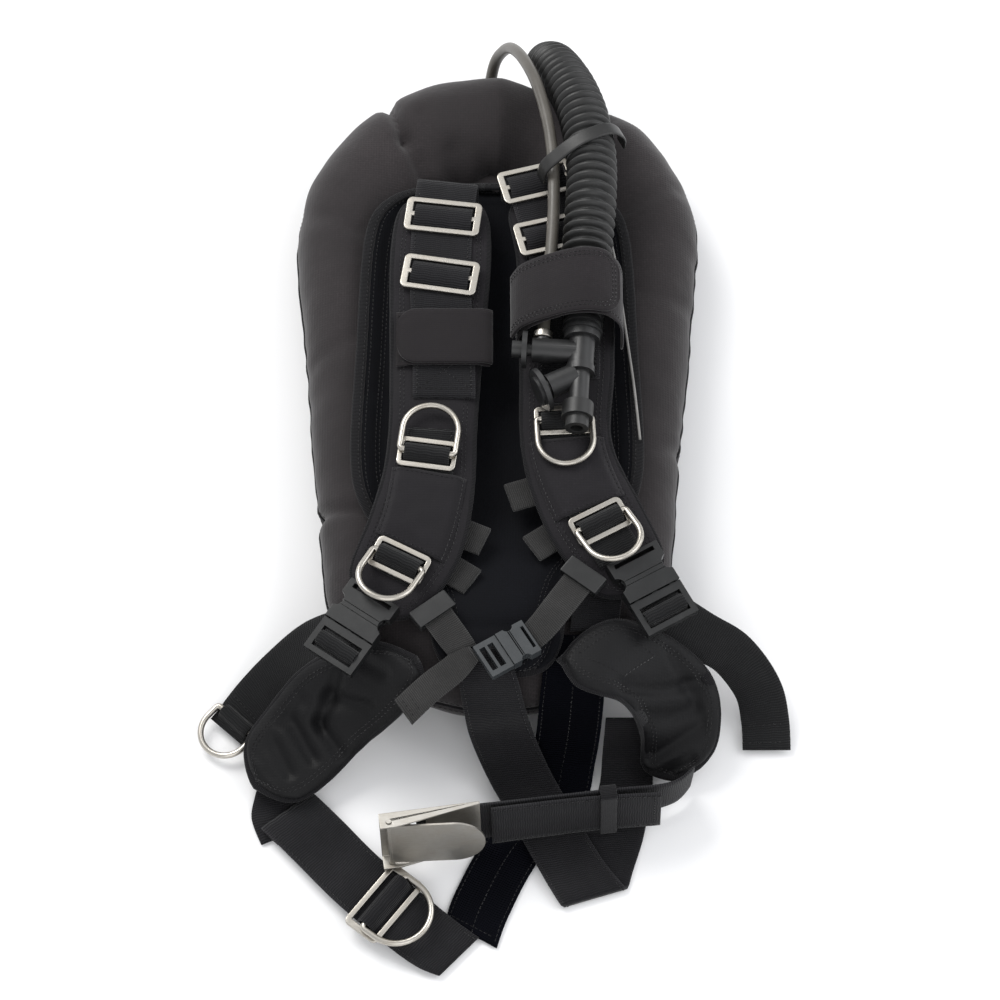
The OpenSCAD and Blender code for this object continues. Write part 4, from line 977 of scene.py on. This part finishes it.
# Profiles of webbing over a bar, as (own y, own z) of the strap's middle.
LOW_ARCH = [(-10.6, -0.4), (-9.2, 1.0), (-5.5, 3.6), (0, 4.5), (5.5, 3.6), (9.2, 1.0), (10.6, -0.4)]
RING_ARCH = [(-7.5, -0.4), (-6.9, 1.2), (-5.6, 4.6), (-3.3, 8.3), (0, 9.7), (3.3, 8.3), (5.6, 4.6), (6.9, 1.2),
             (7.5, -0.4)]
BUCKLE_ARCH = [(-25.4, -3.5), (-25.0, 1.5), (-23.2, 5.2), (-19.8, 6.4), (-16.4, 5.2), (-14.6, 1.5), (-14.2, -3.5)]
TAIL_ARCH = [(-7.0, -0.6), (-5.2, 1.0), (-3.6, 4.4), (0, 6.5), (3.6, 4.4), (5.2, 1.0), (7.0, -0.6)]


def sweep(name, line, along, sec, mat, move, closed=False):
    """A section with its width along own X, swept along a line in the own YZ plane, then moved."""
    up = np.cross([1.0, 0, 0], along)
    rings = [move(p + np.outer(sec[:, 0], [1, 0, 0]) + np.outer(sec[:, 1], u)) for p, u in zip(line, up)]
    return loft(name, rings, mat, closed=closed, uv=[strip_uv(s, sec[:, 0]) for s in distances(line)])


def arch(name, at, width, mat, profile):
    """Webbing that rises over a bar."""
    fine = smooth([[0, y, z] for y, z in profile], 5)
    return sweep(name, fine, unit(np.gradient(fine, axis=0)), flat_section(width / 2, 0.95), mat,
                 lambda ring: place(at, ring))


def web_piece(name, node_name, strips, mat=M_WEB50, slot="webbing", rough=0.25, arches=(), sewn=()):
    """Strips and their rises over bars as one piece, with its stitching."""
    parts = [webbing_strip(f"{name}_{i}", k, mat, seed=1.0 + i, rough=rough) for i, k in enumerate(strips)]
    parts += [arch(f"{name}_a{i}", at, w, mat, profile) for i, (at, w, profile) in enumerate(arches)]
    settle(join(name, parts), "vest", slot, node_name)
    if sewn:
        sew(name + "_stitching", sewn, "vest", slot)


for side, keys, slides in (("right", RIGHT_WEB_KEYS, WIDE_SLIDES[:2]), ("left", LEFT_WEB_KEYS, WIDE_SLIDES[2:])):
    web_piece(f"{side}_shoulder_strap", f"{side}_shoulder_webbing", [keys], rough=0.12,
              arches=[(at, 47, LOW_ARCH) for at in slides],
              sewn=box_stitch(keys) + edge_rows(keys, 3.2, 0.9, start=40))
for side, keys, bars in (("right", RIGHT_CHEST_KEYS, (RIGHT_UPPER, RIGHT_LOWER)),
                         ("left", LEFT_CHEST_KEYS, (LEFT_UPPER, LEFT_LOWER))):
    web_piece(f"{side}_chest_strap", f"{side}_chest_webbing", [keys], M_WEB38, rough=0.12,
              arches=[(at, 36, RING_ARCH) for at in bars], sewn=edge_rows(keys, 3.0, 0.9))
web_piece("right_strap_tail_webbing", "right_strap_tail", [RIGHT_TAIL_KEYS], M_WEB38,
          arches=[(TAIL_RING, 30, TAIL_ARCH)], sewn=[cross_line(RIGHT_TAIL_KEYS, d) for d in (8, 24)])
web_piece("left_strap_tail_webbing", "left_strap_tail", [LEFT_TAIL_KEYS], M_WEB38,
          sewn=[cross_line(LEFT_TAIL_KEYS, d) for d in (6, 20)])
for side, at in (("right", RIGHT_BUCKLE), ("left", LEFT_BUCKLE)):
    settle(arch(f"{side}_buckle_wrap", at, 35, M_WEB38, BUCKLE_ARCH), f"{side}_buckle_plug", "webbing")
web_piece("right_sternum_webbing", "right_sternum_strap", [RIGHT_STERNUM_KEYS, STERNUM_TAIL_KEYS], M_GREY,
          "grey_webbing", sewn=[cross_line(STERNUM_TAIL_KEYS, d) for d in (5, 12)])
web_piece("left_sternum_webbing", "left_sternum_strap", [LEFT_STERNUM_KEYS], M_GREY, "grey_webbing")
web_piece("right_waist_strap", "right_waist_webbing", [RIGHT_WAIST_KEYS, WAIST_RETURN_KEYS],
          arches=[(WAIST_SLIDE, 48, RING_ARCH)], sewn=edge_rows(RIGHT_WAIST_KEYS, 3.2, 0.95, start=30))
web_piece("left_waist_strap", "left_waist_webbing", [LEFT_WAIST_KEYS, BELT_FRONT_KEYS, LEFT_HIP_LINK_KEYS],
          sewn=edge_rows(BELT_FRONT_KEYS, 3.2, 0.95) + [cross_line(BELT_FRONT_KEYS, 5)])
web_piece("crotch_strap_webbing", "crotch_strap", [CROTCH_KEYS], M_NAVY, "navy_webbing",
          sewn=[top_line(CROTCH_KEYS, q, 3.0, 0.95) for q in (0, -1, 1)] + [cross_line(CROTCH_KEYS, 6)])
web_piece("lower_loop_webbing", "lower_loop_strap", [LOOP_KEYS], sewn=edge_rows(LOOP_KEYS, 3.2, 0.95))


def level_keys(points, y, width):
    """Keys of a strip that runs level across the vest at a fixed y, from its (x, z) points."""
    return [[x, y, z, 90, 0, width] for x, z in points]


TOP_Z = 61.6
BAND_HALF = [(0, TOP_Z), (50, TOP_Z), (53.5, TOP_Z - 1.5), (55, TOP_Z - 5), (56, 48), (50, 40), (28, 36)]
BAND = BAND_HALF + [(-x, z) for x, z in BAND_HALF[::-1]]
web_piece("tank_band_webbing", "cam_bands", [level_keys(BAND, y, 49) for y in (170, 20)])


def pad_cover(name, keys, upper, lower):
    """The pad's cloth over the chest webbing, sewn down all round between the two slides."""
    half, spacing, hem = 30, 2.5, 2.5
    k, s = resample(keys, spacing)
    c, across, up = frames_of(k)
    d0, d1 = [s[np.argmin(np.linalg.norm(c[:, :2] - at[:2], axis=1))] for at in (upper, lower)]
    keep = np.nonzero((s >= d0 + 14) & (s <= d1 - 14))[0]
    xs = np.linspace(-1, 1, 33)
    rise = ease(np.clip((half - np.abs(xs) * half) / 8, 0, 1))
    rings = []
    for n, i in enumerate(keep):
        end = min(n, len(keep) - 1 - n) * spacing
        puff = min(1.0, end / 12) * (1 - xs ** 2) * 2.2
        folds = np.array([wob((s[i], x * half, 5.0), 13.0, 3.0) for x in xs]) * 0.9 * rise
        top = 4.4 + 4.3 * rise + puff + folds - 0.5 * math.exp(-(end - 4) ** 2 / 3)
        rings.append([c[i] + across[i] * x * half + up[i] * h for x, h in zip(xs, top)]
                     + [c[i] + across[i] * x * half + up[i] * h for x, h in zip(xs[::-1], 4.0 + 3.5 * rise[::-1])])
    ob = settle(loft(name, rings, M_PAD), "vest", "pad_fabric")
    tree = tree_of(ob)
    lines = [(c[keep] + across[keep] * q * (half - hem) + up[keep] * 6, up[keep]) for q in (-1, 1)]
    for i in (keep[1], keep[-2]):
        across_line = np.outer(np.linspace(-1, 1, 15) * (half - hem), across[i])
        lines.append((c[i] + across_line + up[i] * 9, np.tile(up[i], (15, 1))))
    sew(name + "_stitching", [(on_surface(tree, p, u), u) for p, u in lines], "vest", "pad_fabric")


pad_cover("right_pad_cover", RIGHT_PAD_KEYS, RIGHT_UPPER, RIGHT_LOWER)
pad_cover("left_pad_cover", LEFT_PAD_KEYS, LEFT_UPPER, LEFT_LOWER)

# Short folded loops sewn to the pads
TABS = [(-21, -80, 98, -24), (-29.5, -113, 97, -34), (22, -42, 98, 18), (38, -84, 98, 34)]
TAB_PROFILE = [(-12.4, -1.0), (-8, -0.95), (0, -0.9), (8, -0.95), (12.2, -0.7), (12.7, 0.1), (12.2, 0.9), (8, 1.0),
               (0, 1.0), (-12.4, 1.0)]
tabs = [arch(f"tab_{i}", [x, y, z, a + 90, 0], 24.6, M_GREY, TAB_PROFILE) for i, (x, y, z, a) in enumerate(TABS)]
settle(join("strap_tab_loops", tabs), "vest", "grey_webbing", "strap_tabs")

# ---- keepers ----
RIGHT_KEEPER_KEYS = level_keys([
    [-81, 117.2], [-75, 118.2], [-69, 120.4], [-48, 120.8], [-17, 120.4], [-11, 118.2], [-5.5, 117.2]], 88, 50)
RIGHT_FLAP_KEYS = level_keys([
    [-4, 120.6], [-10, 123.4], [-30, 123.8], [-58, 123.8], [-74, 123.6], [-80, 123.2]], 88, 50)
HOSE_KEEPER_KEYS = level_keys([
    [16, 110], [17, 126], [23, 141], [33, 151], [45, 159], [57, 165.5], [72, 168], [86, 164], [96, 152],
    [99.5, 138], [100.5, 122], [100, 110]], 112, 58)
HOSE_FLAP_KEYS = level_keys([
    [12, 128], [18, 143], [29, 154], [42, 162], [56, 169], [72, 172.5], [86, 169], [97, 161.5]], 112, 58)


def cloth_strip(name, keys, thickness, corner=0.0, spacing=3.0):
    """A flat sewn piece with a soft face and, at its end, rounded corners."""
    k, s = resample(keys, spacing)
    if corner:
        extra = [s[-1] - corner * (1 - math.cos(t)) for t in np.linspace(0.2, 1.4, 6)]
        want = np.unique(np.round(np.concatenate([s, extra]), 3))
        k, s = sample(k, s, want), want
    c, across, up = frames_of(k)
    hollow = 0.5 * min(1.0, max(0.0, thickness - 2.2))
    rings, uvs = [], []
    for i in range(len(k)):
        half = k[i, 5] / 2 - (round_end(s[-1] - s[i], corner) if corner else 0.0)
        x, h = flat_section(half, thickness / 2, n=12, round_mm=1.0).T
        d = np.minimum(half - np.abs(x), min(s[i], s[-1] - s[i]) + 2.0)
        groove = 0.5 * np.exp(-((d - 4.2) / 1.2) ** 2) - hollow * np.clip((d - 6) / 14, 0, 1)
        w = 0.35 * np.array([wob((s[i], q, 3.0), 17.0, 7.0) for q in x])
        rings.append(c[i] + np.outer(x, across[i]) + np.outer(h - np.sign(h) * groove + w, up[i]))
        uvs.append(strip_uv(s[i], x))
    return loft(name, rings, M_HOOK, uv=uvs)


def flap_outline(keys, corner, inset):
    """Stitch line that follows a flap's edge around its rounded end."""
    k, s = resample(keys, 1.5)
    left = s[-1] - inset - s
    keep = left >= 0
    c, across, up = [q[keep] for q in frames_of(k)]
    half = k[keep, 5] / 2 - inset - [round_end(d, max(corner - inset, 1)) for d in left[keep]]
    rows = [c + across * q * half[:, None] + up * 1.5 for q in (1, -1)]
    return np.vstack([rows[0], rows[1][::-1]]), np.vstack([up, up[::-1]])


def make_keeper(name, keys, flap_keys, corner):
    flap = name + "_flap"
    settle(cloth_strip(name + "_band", keys, 2), "vest", "hook_fabric", name)
    sew(name + "_band_stitching", edge_rows(keys, 4.2, 0.85), "vest", "hook_fabric")
    settle(cloth_strip(flap, flap_keys, 2.8, corner=corner, spacing=2.0), flap, "hook_fabric", flap)
    sew(flap + "_stitching", [flap_outline(flap_keys, corner, q) for q in (4.2, 7.4)], flap, "hook_fabric")


make_keeper("right_keeper", RIGHT_KEEPER_KEYS, RIGHT_FLAP_KEYS, 16)
make_keeper("hose_keeper", HOSE_KEEPER_KEYS, HOSE_FLAP_KEYS, 18)

# ---- rings ----
RING_WIRE_R = 2.45
RING_CORNER = 3.0
RING_RISE, TAIL_RISE = 6.0, 2.9


def d_ring(place_name, at, rise, half_w, leg, flip, lean):
    """A bent-wire D: a straight bar, two legs and a half-round bow."""
    c = RING_CORNER
    right = [(half_w - c + c * math.sin(a), -c + c * math.cos(a), 0) for a in np.linspace(0, math.pi / 2, 6)]
    right += [(half_w, y, 0) for y in np.linspace(-c - 1, -leg, 4)]
    bow = [(half_w * math.cos(a), -leg - half_w * math.sin(a), 0) for a in np.linspace(0, math.pi, 28)[1:-1]]
    pts = np.array(right + bow + [(-x, y, z) for x, y, z in right[::-1]])
    a = circle(20)
    rings = []
    for p, t in zip(pts, round_the_loop(pts)):
        side = np.cross(t, [0, 0, 1.0])
        ring = p + RING_WIRE_R * (np.outer(np.cos(a), side) + np.outer(np.sin(a), [0, 0, 1.0]))
        rings.append(place(at, ring @ rot_z(flip).T @ rot_x(-lean).T + [0, 0, rise]))
    body = place_name + "_d_ring"
    settle(loft(place_name + "_ring_wire", rings, M_STEEL, closed=True), body, "hardware_steel", body)


d_ring("right_upper", RIGHT_UPPER, RING_RISE, 22, 19, 180, 0)
d_ring("right_lower", RIGHT_LOWER, RING_RISE, 22, 19, 0, 22)
d_ring("left_upper", LEFT_UPPER, RING_RISE, 22, 19, 0, 0)
d_ring("left_lower", LEFT_LOWER, RING_RISE, 22, 19, 0, 20)
d_ring("waist", WAIST_SLIDE, RING_RISE, 27, 12, 0, 0)
d_ring("tail", TAIL_RING, TAIL_RISE, 20, 12, 0, 0)

# ---- hoses ----
HOSE_ROUTE = [
    [44, 397, 48.9], [44.2, 396, 56], [46, 387, 70], [49, 374, 86], [55, 355, 101], [64, 327, 116],
    [72, 292, 129], [77, 247, 139], [76, 200, 145], [72, 150, 144], [69.7, 106.8, 142.5]]
RIB_PITCH = 8.9
HOSE_CUFF = 14.0


def make_corrugated_hose():
    pts, s = resample(HOSE_ROUTE, 1.0)
    radii = []
    for d in s:
        rib = 0.5 + 0.5 * math.cos(2 * math.pi * (d - HOSE_CUFF) / RIB_PITCH)
        radii.append(18.6 if min(d, s[-1] - d) < HOSE_CUFF - 3 else 15.3 + 5.6 * rib ** 0.55)
    ob = tube("corrugated_hose_tube", pts, 20.8, 48, M_RUBBER, radii=radii)
    settle(ob, "vest", "hose_rubber", "corrugated_hose")


make_corrugated_hose()
BAND_POINTS = [[36, 127], [39, 143], [50, 152.5], [62, 160], [76, 163], [92, 159], [102, 143], [102, 130]]
settle(webbing_strip("hose_band_rubber", [[x, 236 + (x - 38) * 0.5, z, 116, 0, 12] for x, z in BAND_POINTS],
                     M_RUBBER, thick=2.2), "vest", "hose_rubber", "hose_band")


def make_belt_keeper():
    """Ribbed elastic around the belt."""
    h, w, c = 27.2, 5.7, 2.6
    pts = []
    for cy, cz, a0 in ((w - c, h - c, 0), (-w + c, h - c, 90), (-w + c, -h + c, 180), (w - c, -h + c, 270)):
        for a in np.radians(np.linspace(a0, a0 + 90, 6)):
            pts.append(np.array([0, cy + c * math.cos(a), cz + c * math.sin(a)]))
    fine = []
    for p, q in zip(pts, pts[1:] + pts[:1]):
        steps = max(1, int(np.linalg.norm(q - p) / 3))
        fine += [p + (q - p) * j / steps for j in range(steps)]
    fine = np.array(fine)
    turn = rot_z(6) @ rot_x(-8)
    ob = sweep("belt_keeper_elastic", fine, round_the_loop(fine), flat_section(6.4, 0.75, n=6, round_mm=0.5), M_BIND,
               lambda ring: ring @ turn.T + [86, -285.6, 35], closed=True)
    settle(ob, "vest", "webbing", "belt_keeper")


make_belt_keeper()

# ---- CAD hardware: finishes and soft edges ----
# Each finish: material, edge radius in millimetres, and the nodes it goes on.
FINISHES = [
    (M_BRUSHED, 0.5, "backplate"), (M_BRUSHED, 0.4, "waist_buckle_frame waist_buckle_lever"),
    (M_STEEL, 0.4, "wing_screws"), (M_STEEL, 0.7, "wide_slides narrow_slides"),
    (M_STEEL, 0.6, "hose_end_fitting quick_connect_sleeve"),
    (M_PLASTIC, 0.6, "upper_cam_lever lower_cam_lever wing_elbow"), (M_PLASTIC, 0.7, "cam_buckles dump_valve_knob"),
    (M_PLASTIC, 0.8, "dump_valve"), (M_PLASTIC, 0.9, "right_buckle_plug left_buckle_plug sternum_keepers"),
    (M_PLASTIC, 1.0, "right_buckle_socket left_buckle_socket"), (M_BUCKLE, 0.8, "sternum_socket"),
    (M_BUCKLE, 0.7, "sternum_plug"), (M_INFLATOR, 0.9, "inflator_body inflate_button deflate_button"),
    (M_RUBBER, 1.4, "mouthpiece")
]
for mat, bevel, names in FINISHES:
    for ob in (NODE[name] for name in names.split()):
        ob.data.materials.clear()
        ob.data.materials.append(mat)
        shade_smooth(ob)
        add_modifier(ob, "WELD", merge_threshold=0.00002)
        add_modifier(ob, "BEVEL", width=bevel * MM, segments=3, limit_method="ANGLE", angle_limit=math.radians(35),
                     harden_normals=False)
        add_modifier(ob, "WEIGHTED_NORMAL", keep_sharp=False, weight=60)
